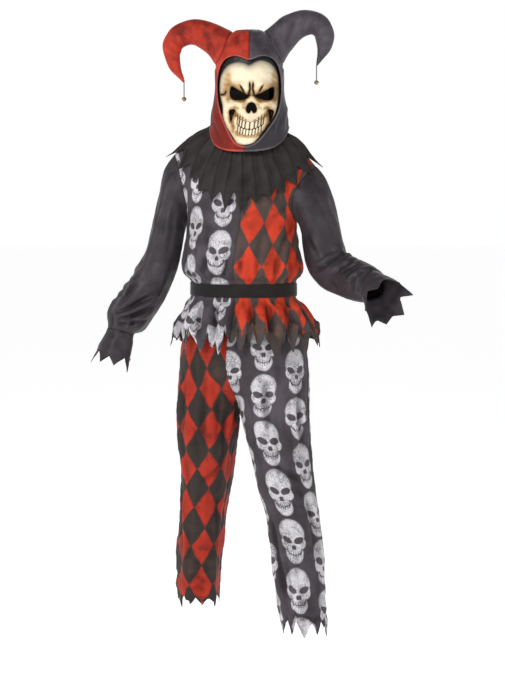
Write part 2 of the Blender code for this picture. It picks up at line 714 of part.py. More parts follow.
def make_ruff(tree):
    """The gathered collar: one pleat and one dagged point after another, right round the neck."""
    ruff = Cloth()
    columns = 2 * RUFF_POINTS
    grid = [[] for _ in range(len(RUFF_ROWS) + 1)]
    for c in range(columns):
        angle = 2 * math.pi * c / columns - math.pi / 2
        profile = ruff_profile(tree, angle)
        ahead = math.cos(angle + math.pi / 2)
        middle = RUFF_FRONT if ahead > 0 else RUFF_BACK
        full = RUFF_SIDE + (middle - RUFF_SIDE) * abs(ahead) ** 1.4
        full *= 1 + 0.05 * math.sin(2.7 * c)
        ridge = c % 2 == 0
        for r, reach in enumerate((*RUFF_ROWS, 1.0)):
            length = reach * (full - RUFF_POINT_DEPTH) if reach < 1 else full
            if reach == 1.0 and not ridge:
                length -= RUFF_POINT_DEPTH
            rise = min(1.0, reach / RUFF_ROWS[1]) if r else 0.0
            clear = RUFF_CLEAR * (1 + 0.6 * reach)
            out = 2 * SEAM_GAP + CLOTH + rise * (clear + (RUFF_PLEAT if ridge else 0.0))
            grid[r].append(ruff_point(profile, length, out))
    ruff.add("ruff", grid, closed=True)
    ruff.face_outwards()
    ruff.wall("ruff", "black")
    return ruff


def hood_sizes(z):
    """The hood's half-width and half-depth at a height."""
    keys = HOOD_RINGS["z"]
    return along(keys, HOOD_RINGS["half_width"], z), along(keys, HOOD_RINGS["half_depth"], z)


def in_hood(point):
    """Whether a point lies inside the hood's rounded form."""
    if point[2] > HOOD_RINGS["z"][-1]:
        return False
    half_width, half_depth = hood_sizes(point[2])
    return ((point[0] - HOOD_X) / half_width) ** 2 + (point[1] / half_depth) ** 2 < 1


def onto_hood(point, heading):
    """Slides a point along a heading until it lies on the hood's form."""
    low, high = -0.12, 0.12
    for _ in range(40):
        middle = (low + high) / 2
        if in_hood(point + heading * middle):
            low = middle
        else:
            high = middle
    return point + heading * low


def from_head(point):
    """Slides a point away from or towards the middle of the head until it lies on the hood."""
    heading = unit(point - np.array(HOOD_HEAD))
    return onto_hood(point, heading)


def twisted(x, y, z):
    """A point of the hood, given from its middle, after its lower part has turned with the neck."""
    low = max(0.0, 1 - z / HOOD_TWIST_FROM)
    x, y = turned(x, y, HOOD_TWIST * low)
    return np.array((HOOD_X + x, y, z))


def hood_front(across, z, side):
    """The point of the hood's front at a distance from its middle plane."""
    half_width, half_depth = hood_sizes(z)
    share = min(abs(across) / half_width, 1.0)
    return twisted(side * across, -half_depth * math.sqrt(1 - share**2), z)


def hood_at(angle, z, side, behind=0.0):
    """The point of the hood, or of a form behind it, at an angle from its front, in degrees."""
    half_width, half_depth = hood_sizes(z)
    turn = math.radians(angle)
    x, y = (half_width - behind) * math.sin(turn), -(half_depth - behind) * math.cos(turn)
    return twisted(side * x, y, z)


def front_angle(across, z):
    """The angle from the front, in degrees, of a point at a distance from the middle plane."""
    half_width, _ = hood_sizes(z)
    return math.degrees(math.asin(min(across / half_width, 1.0)))


def crown_seam(share):
    """A point of the centre seam. share runs from the brow's notch over the crown to eye level behind."""
    start = math.atan2(hood_front(0, FACE_BROW[0][1], 1)[1], FACE_BROW[0][1] - HOOD_EYE_LEVEL)
    angle = start + (math.pi / 2 - start) * share
    heading = np.array((0, math.sin(angle), math.cos(angle)))
    return onto_hood(np.array(HOOD_HEAD) + heading * 0.11, heading)


def hood_hem_z(angle):
    """The height of the hood's lower edge at an angle from the front, in degrees."""
    aside = 1 - abs(math.cos(math.radians(angle)))
    middle = HOOD_HEM["front"] if angle < 90 else HOOD_HEM["back"]
    return middle + (HOOD_HEM["side"] - middle) * aside ** HOOD_HEM["climb"]


def angles_round(across, z):
    """The angles of the hood's columns, from the face opening's edge to the back seam, in degrees."""
    first = front_angle(across, z)
    count = HOOD_ROUND["temple"]
    return [first + (180 - first) * (c / count) ** HOOD_TEMPLE_SPREAD for c in range(count + 1)]


def temple_row(side):
    """The hood's points at eye level, from the face opening round to the back seam."""
    return [hood_at(angle, HOOD_EYE_LEVEL, side) for angle in angles_round(*FACE_CHEEK[0])]


def hood_neck(side):
    """The hood below eye level, round the cheek, the throat and the nape."""
    rows = [temple_row(side)]
    for across, z_front in [*FACE_CHEEK[1:], (0.0, HOOD_HEM["front"])]:
        drop = (HOOD_EYE_LEVEL - z_front) / (HOOD_EYE_LEVEL - HOOD_HEM["front"])
        row = []
        for c, angle in enumerate(angles_round(across, z_front)):
            z = HOOD_EYE_LEVEL + (hood_hem_z(angle) - HOOD_EYE_LEVEL) * drop if c else z_front
            row.append(hood_at(angle, z, side))
        rows.append(row)
    return rows


def horn_base(name, turn):
    """A point of the seam that joins a horn to the hood."""
    sizes = HORNS[name]
    axis = unit(sizes["axis"])
    up = unit(np.array((0, 0, 1)) - axis * axis[2])
    flare = HORN_FLARE * max(0.0, math.cos(turn - HORN_FLARE_TURN)) ** 2
    point = np.array(sizes["base"]) + (sizes["base_radius"] + flare) * (
        math.cos(turn) * up + math.sin(turn) * np.array((0, -1, 0))
    )
    return onto_hood(point, axis)


def hood_crown(name):
    """The hood above eye level, a ring of cloth round the foot of the horn."""
    side = SIDES[name]
    temple = temple_row(side)
    counts = HOOD_ROUND
    top_share = 0.5
    outline = [crown_seam(top_share * (1 - c / counts["crown"])) for c in range(counts["crown"])]
    outline += [hood_front(across, z, side) for across, z in FACE_BROW[:-1]]
    outline += temple[:-1]
    outline += [
        crown_seam(1.0 + (top_share - 1.0) * c / counts["nape"]) for c in range(counts["nape"])
    ]
    total = len(outline)
    foot = [horn_base(name, 2 * math.pi * k / total) for k in range(total)]
    rows = [foot]
    for r in range(1, HOOD_CROWN_ROWS):
        t = r / HOOD_CROWN_ROWS
        rows.append([from_head(a + (b - a) * t) for a, b in zip(foot, outline)])
    rows.append(outline)
    return rows


def horn_grid(name, foot):
    """A horn, from its foot on the hood along its curl to the closed tip."""
    sizes = HORNS[name]
    centres = np.array([(x, 0.0, z) for x, z in zip(sizes["x"], sizes["z"])])
    lean = np.linspace(0, 1, len(centres)) ** 2 * -HORN_LEAN
    centres[:, 1] = lean
    tangents = np.gradient(np.vstack([sizes["base"], centres]), axis=0)[1:]
    rows = [foot]
    for centre, tangent, radius in zip(centres, tangents, sizes["radius"]):
        tangent = unit(tangent)
        ahead = unit(np.array((0, -1, 0)) - tangent * -tangent[1])
        up = np.cross(ahead, tangent) * SIDES[name]
        rows.append(
            [
                centre + radius * (math.cos(turn) * up + math.sin(turn) * ahead)
                for turn in (2 * math.pi * k / len(foot) for k in range(len(foot)))
            ]
        )
    tip = centres[-1] + unit(tangents[-1]) * sizes["radius"][-1]
    rows.append([tip] * len(foot))
    return rows, tip


def make_hood():
    """The two halves of the hood and their horns. Returns the tips that the bells hang from."""
    hood = Cloth()
    colours = {"right": "red", "left": "charcoal"}
    tips = {}
    for name, side in SIDES.items():
        crown = hood_crown(name)
        hood.add(f"hood_{name}", crown, closed=True)
        hood.add(f"hood_{name}", hood_neck(side))
        horn, tips[name] = horn_grid(name, crown[0])
        hood.add(f"horn_{name}", horn, closed=True)
    hood.face_outwards()
    for name in SIDES:
        hood.wall(f"hood_{name}", colours[name])
        hood.wall(f"horn_{name}", colours[name])
    return tips


def relief(across, z):
    """How far the mask stands forward of the plain form at a place on the face."""
    total = 0.0
    for x, height, half_width, half_height, push in zip(*MASK_RELIEF.values()):
        for centre in {x, -x}:
            reach = ((across - centre) / half_width) ** 2 + ((z - height) / half_height) ** 2
            total += push * math.exp(-reach)
    return total


def face_half_width(z):
    """Half the width of the hood's face opening at a height, and nothing above or below it."""
    sides = [*FACE_CHEEK[::-1], *FACE_BROW[:1:-1]]
    if not sides[0][1] < z < sides[-1][1]:
        return 0.0
    return float(np.interp(z, [height for _, height in sides], [across for across, _ in sides]))


def mask_point(share, z):
    """A point of the mask. share runs from -1 at one edge to 1 at the other."""
    angle = along(MASK_OUTLINE["z"], MASK_OUTLINE["half_angle"], z) * abs(share)
    side = math.copysign(1, share)
    across = side * (hood_sizes(z)[0] - MASK_UNDER_HOOD) * math.sin(math.radians(angle))
    point = hood_at(angle, z, side, MASK_UNDER_HOOD)
    inside = (face_half_width(z) - abs(across)) / MASK_FADE
    point[1] -= relief(across - MASK_ASIDE, z) * max(0.0, min(1.0, inside))
    return point


def cutter(name, points, front, back):
    """A prism through the mask, from a flat outline seen from the front."""
    count = len(points)
    corners = [(x, front, z) for x, z in points] + [(x, back, z) for x, z in points]
    faces = [tuple(range(count)), tuple(reversed(range(count, 2 * count)))]
    faces += [(k, k + count, (k + 1) % count + count, (k + 1) % count) for k in range(count)]
    mesh = bpy.data.meshes.new(name)
    mesh.from_pydata(corners, [], faces)
    made = bpy.data.objects.new(name, mesh)
    bpy.data.collections["cutters"].objects.link(made)
    shape = bmesh.new()
    shape.from_mesh(mesh)
    bmesh.ops.recalc_face_normals(shape, faces=shape.faces)
    shape.to_mesh(mesh)
    shape.free()
    made.hide_render = True
    made.display_type = "WIRE"
    return made


def make_mask():
    """The moulded face in the hood's opening, with its eyes and nose open over black gauze."""
    mask = Cloth()
    grid = [
        [mask_point(2 * c / MASK_COLUMNS - 1, z) for c in range(MASK_COLUMNS + 1)]
        for z in MASK_OUTLINE["z"]
    ]
    mask.add("mask", grid)
    mask.face_outwards()
    made = mask.wall("mask", "bone", MASK_THICKNESS)
    outlines = {
        "eye_right": [(HOOD_X + MASK_ASIDE - x, z) for x, z in MASK_EYE],
        "eye_left": [(HOOD_X + MASK_ASIDE + x, z) for x, z in MASK_EYE],
        "nose": [(HOOD_X + MASK_ASIDE + x, z) for x, z in MASK_NOSE]
        + [(HOOD_X + MASK_ASIDE - x, z) for x, z in MASK_NOSE[-2:0:-1]],
    }
    for name, points in outlines.items():
        cut = made.modifiers.new(name, "BOOLEAN")
        cut.operation = "DIFFERENCE"
        cut.object = cutter(f"cut_{name}", points, -0.20, -0.055)
    behind = MASK_THICKNESS + SEAM_GAP
    gauze = Cloth()
    rows = []
    for row in grid[slice(*GAUZE_ROWS)]:
        numbers = [mask.number(point) for point in row[slice(*GAUZE_COLUMNS)]]
        rows.append([mask.points[i] - mask.normals[i] * behind for i in numbers])
    gauze.add("eye_gauze", rows)
    gauze.face_outwards()
    gauze.wall("eye_gauze", "black", GAUZE_THICKNESS)


def make_bell(name, tip):
    """A small round bell with a rim, on a short cord from the tip of a horn."""
    top = tip[2] - SEAM_GAP
    line = bpy.data.curves.new(f"bell_cord_{name}", "CURVE")
    line.dimensions = "3D"
    line.bevel_depth = BELL_CORD / 2
    line.bevel_resolution = 2
    line.use_fill_caps = True
    spline = line.splines.new("POLY")
    count = 12
    spline.points.add(count - 1)
    for k in range(count):
        spline.points[k].co = (tip[0], tip[1], top - BELL_CORD_LENGTH * k / (count - 1), 1.0)
    cord = bpy.data.objects.new(f"bell_cord_{name}", line)
    line.materials.append(material("twine"))
    bpy.data.collections["jester_costume"].objects.link(cord)

    profile = bpy.data.meshes.new(f"bell_{name}")
    steps = 8
    points = []
    for k in range(steps + 1):
        turn = math.pi * k / steps
        rim = 0.0009 if k == steps // 2 else 0.0
        points.append(((BELL_RADIUS + rim) * math.sin(turn), 0.0, BELL_RADIUS * math.cos(turn)))
    profile.from_pydata(points, [(k, k + 1) for k in range(steps)], [])
    bell = bpy.data.objects.new(f"bell_{name}", profile)
    bell.location = (tip[0], tip[1], top - BELL_CORD_LENGTH - SEAM_GAP - BELL_RADIUS)
    screw = bell.modifiers.new("turned", "SCREW")
    screw.steps = screw.render_steps = 16
    screw.use_merge_vertices = True
    screw.merge_threshold = 0.00005
    profile.materials.append(material("gilt"))
    bpy.data.collections["jester_costume"].objects.link(bell)


def main():
    """Builds the whole costume."""
    for old in list(bpy.data.objects):
        bpy.data.objects.remove(old)
    for name in ("jester_costume", "cutters"):
        bpy.context.scene.collection.children.link(bpy.data.collections.new(name))
    tunic = make_tunic()
    make_belt()
    make_trousers()
    make_ruff(surface_tree(tunic))
    tips = make_hood()
    make_mask()
    for name, tip in tips.items():
        make_bell(name, tip)


main()
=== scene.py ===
"""The jester costume, dressed over its CAD frame.

Every cloth piece is a thin shell, sewn to its neighbours along shared seams, with its folds placed
one by one, its print and its wear. Lengths are metres in the frame of the CAD model: +Z is up, the
front faces -Y, and +X is the wearer's left.
"""

import json
import logging
import math
from collections.abc import Callable, Sequence
from dataclasses import dataclass, field
from enum import Enum

import bmesh
import bpy
import numpy as np
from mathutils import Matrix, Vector
from mathutils.bvhtree import BVHTree
from mathutils.kdtree import KDTree


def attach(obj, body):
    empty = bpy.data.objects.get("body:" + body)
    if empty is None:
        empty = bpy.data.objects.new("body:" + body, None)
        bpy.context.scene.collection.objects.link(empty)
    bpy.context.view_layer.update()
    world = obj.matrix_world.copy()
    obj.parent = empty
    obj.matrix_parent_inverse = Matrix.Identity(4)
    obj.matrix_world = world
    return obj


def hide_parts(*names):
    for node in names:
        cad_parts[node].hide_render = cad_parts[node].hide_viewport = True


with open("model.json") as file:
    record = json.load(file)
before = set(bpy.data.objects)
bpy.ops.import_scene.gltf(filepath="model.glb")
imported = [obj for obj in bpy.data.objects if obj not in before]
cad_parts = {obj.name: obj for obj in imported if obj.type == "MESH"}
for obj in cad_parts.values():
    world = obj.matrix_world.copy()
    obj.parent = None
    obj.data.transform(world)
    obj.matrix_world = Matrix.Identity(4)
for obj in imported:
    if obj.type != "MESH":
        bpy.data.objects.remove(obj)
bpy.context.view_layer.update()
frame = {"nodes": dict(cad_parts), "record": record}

log = logging.getLogger("costume")

CLOTH = 0.0015
SEAM_GAP = 0.0003
TORSO_TURN = math.radians(-20)
SIDES = {"right": -1, "left": 1}
FACES = {"front": -1, "back": 1}
BELT_Z = -0.383

Pair = tuple[float, float]
Triple = tuple[float, float, float]
Grid = list[list[np.ndarray]]
Pieces = dict[str, bpy.types.Object]


def mm(*values: float) -> tuple[float, ...]:
    """Millimetres as metres."""
    return tuple(value / 1000 for value in values)


def along(keys: Sequence[float], values: Sequence[float], at: float | np.ndarray) -> float | np.ndarray:
    """Reads the smooth curve through (keys, values).

    Args:
        keys: Places, rising or falling.
        values: What the curve is there.
        at: Where to read it.

    Returns:
        The curve's values, one for each place in ``at``.
    """
    keys, values = np.asarray(keys, float), np.asarray(values, float)
    if keys[0] > keys[-1]:
        keys, values = keys[::-1], values[::-1]
    steps = np.diff(values) / np.diff(keys)
    slopes = np.concatenate([[steps[0]], (steps[1:] + steps[:-1]) / 2, [steps[-1]]])
    slopes[1:-1][steps[1:] * steps[:-1] <= 0] = 0
    at = np.clip(at, keys[0], keys[-1])
    i = np.clip(np.searchsorted(keys, at, "right") - 1, 0, len(steps) - 1)
    width = keys[i + 1] - keys[i]
    t = (at - keys[i]) / width
    return (
        values[i] * (1 - t) ** 2 * (1 + 2 * t)
        + values[i + 1] * t * t * (3 - 2 * t)
        + slopes[i] * width * t * (1 - t) ** 2
        - slopes[i + 1] * width * t * t * (1 - t)
    )


def turned(x: float, y: float, angle: float) -> Pair:
    """A point on the ground plane, turned about the origin."""
    return x * math.cos(angle) - y * math.sin(angle), x * math.sin(angle) + y * math.cos(angle)


def unit(vector: Sequence[float]) -> np.ndarray:
    """The vector at length one."""
    vector = np.asarray(vector, float)
    return vector / np.linalg.norm(vector)


def hill(value: np.ndarray, width: float, power: float = 2) -> np.ndarray:
    """1 where the value is nothing, falling away over a width."""
    return np.exp(-((value / width) ** power))


def eased(low: float, high: float, at: np.ndarray) -> np.ndarray:
    """A soft step from 0 at ``low`` to 1 at ``high``."""
    t = np.clip((at - low) / (high - low), 0, 1)
    return t * t * (3 - 2 * t)


def ripple(points: np.ndarray, size: float, seed: int) -> np.ndarray:
    """Smooth uneven waves over points in space.

    Args:
        points: The points, one a row.
        size: The waves' usual length.
        seed: Which waves.

    Returns:
        Values from about -1 to 1, one for each point.
    """
    draws = np.random.default_rng(seed)
    total = np.zeros(len(points))
    waves = 7
    for _ in range(waves):
        heading = unit(draws.normal(size=3))
        length = size * draws.uniform(0.7, 1.6)
        total += np.sin(points @ heading * 2 * math.pi / length + draws.uniform(0, 2 * math.pi))
    return total / math.sqrt(waves)


class Facing(Enum):
    """The side that a fold is seen from, as the ray that finds it on the cloth."""

    FRONT = (0.0, 1.0)
    BACK = (0.0, -1.0)
    RIGHT = (1.0, 0.0)
    LEFT = (-1.0, 0.0)


@dataclass(frozen=True)
class Fold:
    """One soft ridge or trough, drawn on the cloth as seen from one side.

    Places are millimetres: across (x from front or back, y from the sides) and up.
    """

    start: Pair
    end: Pair
    height: float
    width: float
    bow: float = 0.0
    facing: Facing = Facing.FRONT

    def line(self, tree: BVHTree) -> np.ndarray:
        """Lays the fold on the cloth.

        Args:
            tree: The cloth's surface, for rays.

        Returns:
            Points along the fold that lie on the cloth.
        """
        ray = Vector((*self.facing.value, 0.0))
        start, end = np.array(self.start) / 1000, np.array(self.end) / 1000
        aside = unit((end[1] - start[1], start[0] - end[0])) * self.bow / 1000
        found = []
        for t in np.linspace(0, 1, 11):
            across, up = start + (end - start) * t + aside * 4 * t * (1 - t)
            place = Vector((across, 0, up)) if ray.y else Vector((0, across, up))
            hit = tree.ray_cast(place - ray * 1.0, ray)[0]
            if hit is not None:
                found.append((*hit, t))
        return np.array(found)

    def lift(self, points: np.ndarray, tree: BVHTree) -> np.ndarray:
        """How far each point of the cloth moves out for this fold.

        Args:
            points: The cloth's points.
            tree: The cloth's surface, for rays.

        Returns:
            Distances, one for each point.
        """
        line = self.line(tree)
        total = np.zeros(len(points))
        if len(line) < 2:
            return total
        width = self.width / 1000
        reach = 3.2 * width
        low, high = line[:, :3].min(0) - reach, line[:, :3].max(0) + reach
        near = np.flatnonzero(((points > low) & (points < high)).all(1))
        best, share = np.full(len(near), 1e9), np.zeros(len(near))
        for a, b in zip(line, line[1:]):
            step = b[:3] - a[:3]
            t = np.clip((points[near] - a[:3]) @ step / max(step @ step, 1e-12), 0, 1)
            gap = np.linalg.norm(points[near] - a[:3] - t[:, None] * step, axis=1)
            closer = gap < best
            best[closer] = gap[closer]
            share[closer] = (a[3] + (b[3] - a[3]) * t)[closer]
        across = best / width
        taper = eased(0, 0.3, np.minimum(share, 1 - share))
        shoulder = 0.42 * hill(across - 1.75, 0.75)
        total[near] = self.height / 1000 * taper * (np.exp(-(across**2)) - shoulder)
        return total


def folds(facing: Facing, *rows: tuple[float, ...]) -> list[Fold]:
    """Folds seen from one side, each row as start, end, height, width and bow in millimetres."""
    return [Fold((r[0], r[1]), (r[2], r[3]), r[4], r[5], r[6] if len(r) > 6 else 0.0, facing) for r in rows]


class SewnCloth:
    """Cut pieces that share their points along the seams, drawn out into one fine surface."""

    def __init__(self, levels: int = 3) -> None:
        """Starts with no pieces; ``levels`` is how often each quad is halved."""
        self.levels = levels
        self.points: list[np.ndarray] = []
        self.index: dict[tuple[float, ...], int] = {}
        self.names: list[str] = []
        self.quads: list[tuple[int, list[int], list[Pair]]] = []
        self.sharp: set[int] = set()
        self.extra: dict[str, np.ndarray] = {}

    def number(self, point: Sequence[float]) -> int:
        """The number of this point, which a neighbouring piece may have brought already."""
        key = tuple(round(float(x), 6) for x in point)
        if key not in self.index:
            self.index[key] = len(self.points)
            self.points.append(np.asarray(point, float))
        return self.index[key]

    def add(
        self,
        name: str,
        grid: Sequence[Sequence[np.ndarray]],
        flat: Callable[[int, int], Pair],
        closed: bool = False,
        dagged_row: int | None = None,
    ) -> None:
        """Adds rows of points as quads of a piece.

        Args:
            name: The piece.
            grid: Its rows of points.
            flat: The place of (row, column) on the flat cloth, in metres.
            closed: Whether the last column meets the first.
            dagged_row: A row whose points stay sharp corners.
        """
        if name not in self.names:
            self.names.append(name)
        owner = self.names.index(name)
        rows = [[self.number(p) for p in row] for row in grid]
        if dagged_row is not None:
            self.sharp.update(rows[dagged_row])
        columns = len(rows[0])
        for r in range(len(rows) - 1):
            for c in range(columns if closed else columns - 1):
                n = (c + 1) % columns
                corners = {
                    rows[r][c]: flat(r, c),
                    rows[r][n]: flat(r, c + 1),
                    rows[r + 1][n]: flat(r + 1, c + 1),
                    rows[r + 1][c]: flat(r + 1, c),
                }
                self.quads.append((owner, list(corners), list(corners.values())))

    def _coarse(self) -> bpy.types.Mesh:
        """The quads as a mesh, wound outwards, with a material slot for each piece."""
        shape = bmesh.new()
        sharp = shape.verts.layers.float.new("crease_vert")
        flat = shape.loops.layers.uv.new("flat")
        corners = [shape.verts.new(p) for p in self.points]
        for i in self.sharp:
            corners[i][sharp] = 1.0
        for owner, ring, places in self.quads:
            face = shape.faces.new([corners[i] for i in ring])
            face.material_index = owner
            face.smooth = True
            for loop, place in zip(face.loops, places):
                loop[flat].uv = place
        bmesh.ops.recalc_face_normals(shape, faces=shape.faces)
        middle = Vector(np.mean(self.points, axis=0))
        flux = sum((f.calc_center_median() - middle).dot(f.normal) * f.calc_area() for f in shape.faces)
        if flux < 0:
            bmesh.ops.reverse_faces(shape, faces=shape.faces)
        mesh = bpy.data.meshes.new("cloth")
        shape.to_mesh(mesh)
        shape.free()
        for _ in self.names:
            mesh.materials.append(None)
        return mesh

    def draw_out(self) -> None:
        """Makes the fine surface, which passes through every point of the CAD model's cloth."""
        coarse = self._coarse()
        target = np.array(self.points)
        holder = placed("cloth", coarse)
        fine = holder.modifiers.new("fine", "SUBSURF")
        fine.use_limit_surface = True
        fine.uv_smooth = "NONE"
        fine.levels = fine.render_levels = 1
        held = target.copy()
        for _ in range(3):
            coarse.vertices.foreach_set("co", held.ravel())
            coarse.update()
            seen = self._evaluated(holder)
            reached = coordinates(seen)[: len(target)]
            bpy.data.meshes.remove(seen)
            held += target - reached
        coarse.vertices.foreach_set("co", held.ravel())
        coarse.update()
        fine.levels = fine.render_levels = self.levels
        self.mesh = self._evaluated(holder)
        bpy.data.objects.remove(holder)
        bpy.data.meshes.remove(coarse)
        self.measure()

    @staticmethod
    def _evaluated(holder: bpy.types.Object) -> bpy.types.Mesh:
        """The object's mesh with its modifiers applied."""
        graph = bpy.context.evaluated_depsgraph_get()
        graph.update()
        return bpy.data.meshes.new_from_object(holder.evaluated_get(graph), depsgraph=graph)

    def measure(self) -> None:
        """Keeps the fine surface's points, normals, quads, owners and cloth places as arrays."""
        mesh = self.mesh
        self.co = coordinates(mesh)
        self.normal = np.array([v.vector for v in mesh.vertex_normals], float)
        loops = np.zeros(len(mesh.loops), int)
        mesh.loops.foreach_get("vertex_index", loops)
        self.faces = loops.reshape(-1, 4)
        self.owner = np.zeros(len(mesh.polygons), int)
        mesh.polygons.foreach_get("material_index", self.owner)
        flat = np.zeros(2 * len(mesh.loops))
        mesh.uv_layers[0].data.foreach_get("uv", flat)
        self.flat = flat.reshape(-1, 4, 2)
        self.tree = BVHTree.FromPolygons(self.co.tolist(), self.faces.tolist())
        edges = np.sort(quad_sides(self.faces), axis=1)
        keys, inverse, counts = np.unique(edges, axis=0, return_inverse=True, return_counts=True)
        owners = np.repeat(self.owner, 4)
        first, last = np.full(len(keys), 10**6), np.full(len(keys), -1)
        np.minimum.at(first, inverse.ravel(), owners)
        np.maximum.at(last, inverse.ravel(), owners)
        self.raw = np.unique(keys[counts == 1])
        self.seam = np.unique(keys[(counts == 2) & (first != last)])
        self.raw_gap = self.gap_to(self.raw)
        self.seam_gap = self.gap_to(self.seam)

    def gap_to(self, chosen: np.ndarray) -> np.ndarray:
        """How far each point lies from the nearest of the chosen ones."""
        if not len(chosen):
            return np.full(len(self.co), 1.0)
        tree = KDTree(len(chosen))
        for n, i in enumerate(chosen):
            tree.insert(self.co[i], n)
        tree.balance()
        return np.array([tree.find(p)[2] for p in self.co])

    def of(self, *names: str) -> np.ndarray:
        """Which points belong to these pieces."""
        held = np.zeros(len(self.co), bool)
        for name in names:
            held[self.faces[self.owner == self.names.index(name)].ravel()] = True
        return held

    def fold(self, every: Sequence[Fold], share: np.ndarray) -> None:
        """Lifts the cloth along each fold, by each point's share of its height."""
        self.lift(sum(one.lift(self.co, self.tree) for one in every) * share)

    def lift(self, distance: np.ndarray) -> None:
        """Moves the points along the cloth's own normals, and keeps how far as "fold", from which the
        finishes paint shade into the troughs.
        """
        self.co = self.co + self.normal * distance[:, None]
        self.extra["fold"] = self.extra.get("fold", 0.0) + distance

    def shred(self, where: np.ndarray, around: np.ndarray, period: float, depth: float, reach: float) -> None:
        """Cuts uneven narrow notches up into a hem.

        Args:
            where: Which points belong to the piece, 0 or 1.
            around: Each point's place along the hem, in metres.
            period: The usual width of a point of cloth.
            depth: How far the notches go up.
            reach: How far above the hem the cloth still follows.
        """
        phase = around / period + 0.30 * np.sin(around * 27 + 1.0) + 0.22 * np.sin(around * 61 + 2.0)
        saw = np.abs((phase % 1) - 0.5) * 2
        uneven = 0.62 + 0.38 * np.sin(np.floor(phase) * 2.4 + 0.7)
        near = np.clip(1 - self.raw_gap / reach, 0, 1) * where
        self.co[:, 2] += depth * saw**1.4 * uneven * near

    def cut(self, name: str, finish: "Finish", thickness: float = CLOTH) -> bpy.types.Object:
        """Takes one piece out of the sewn surface as a wall of cloth.

        Args:
            name: The piece, which is also the CAD node that it replaces.
            finish: What it is made of.
            thickness: The wall.

        Returns:
            The piece.
        """
        mine = self.owner == self.names.index(name)
        faces = self.faces[mine]
        kept, numbers = np.unique(faces, return_inverse=True)
        numbers = numbers.reshape(-1, 4)
        outer = self.co[kept]
        inner = outer - self.normal[kept] * thickness
        count = len(kept)
        rim = [(b, a, a + count, b + count) for a, b in borders(numbers)]
        every = numbers.tolist() + (numbers[:, ::-1] + count).tolist() + rim
        mesh = bpy.data.meshes.new(f"dressed_{name}")
        mesh.from_pydata(np.vstack([outer, inner]).tolist(), [], every)
        flat = self.flat[mine]
        at = {}
        for ring, places in zip(numbers.tolist(), flat.tolist()):
            at.update(zip(ring, places))
        rims = [[at[i % count] for i in ring] for ring in rim]
        layer = mesh.uv_layers.new(name="flat")
        places = np.concatenate([flat.reshape(-1), flat[:, ::-1].reshape(-1), np.ravel(rims)])
        layer.data.foreach_set("uv", places)
        for label, values in {"raw_gap": self.raw_gap, "seam_gap": self.seam_gap, **self.extra}.items():
            attribute = mesh.attributes.new(label, "FLOAT", "POINT")
            attribute.data.foreach_set("value", np.tile(values[kept], 2))
        mesh.shade_smooth()
        mesh.materials.append(finish.material())
        return dressed(mesh, name)


def coordinates(mesh: bpy.types.Mesh) -> np.ndarray:
    """The mesh's points, one a row."""
    found = np.zeros(3 * len(mesh.vertices))
    mesh.vertices.foreach_get("co", found)
    return found.reshape(-1, 3)


def quad_sides(faces: np.ndarray) -> np.ndarray:
    """The four sides of each quad, as pairs of points."""
    return np.stack([faces, np.roll(faces, -1, axis=1)], axis=2).reshape(-1, 2)


def borders(faces: np.ndarray) -> list[tuple[int, int]]:
    """The sides that only one of these quads has, wound as in it."""
    held = {tuple(side) for side in quad_sides(faces).tolist()}
    return [(a, b) for a, b in held if (b, a) not in held]


def placed(name: str, data: bpy.types.ID) -> bpy.types.Object:
    """A new object in the scene."""
    made = bpy.data.objects.new(name, data)
    bpy.context.scene.collection.objects.link(made)
    return made


def slot_of(node: str) -> str:
    """The record's material slot of a CAD node."""
    return next(row["material_slot"] for row in frame["record"]["subparts"] if row["node"] == node)


def dressed(data: bpy.types.ID, node: str, replaces: bool = True) -> bpy.types.Object:
    """A piece on the root body and, unless told otherwise, in a CAD node's place."""
    piece = placed(data.name, data)
    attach(piece, "root")
    if replaces:
        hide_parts(node)
    slot_of(node)
    return piece


class Value:
    """A value of a material's nodes, which adds and multiplies as a number does."""

    def __init__(self, wiring: "Wiring", socket: bpy.types.NodeSocket) -> None:
        """Wraps a node's result."""
        self.wiring, self.socket = wiring, socket

    def __add__(self, other: object) -> "Value":
        """The sum of both."""
        return self.wiring.math("ADD", self, other)

    def __sub__(self, other: object) -> "Value":
        """This less the other."""
        return self.wiring.math("SUBTRACT", self, other)

    def __rsub__(self, other: object) -> "Value":
        """The other less this."""
        return self.wiring.math("SUBTRACT", other, self)

    def __mul__(self, other: object) -> "Value":
        """The product of both."""
        return self.wiring.math("MULTIPLY", self, other)

    def __truediv__(self, other: object) -> "Value":
        """This over the other."""
        return self.wiring.math("DIVIDE", self, other)

    def __pow__(self, other: object) -> "Value":
        """This to a power."""
        return self.wiring.math("POWER", self, other)

    def __abs__(self) -> "Value":
        """This without its sign."""
        return self.wiring.math("ABSOLUTE", self)


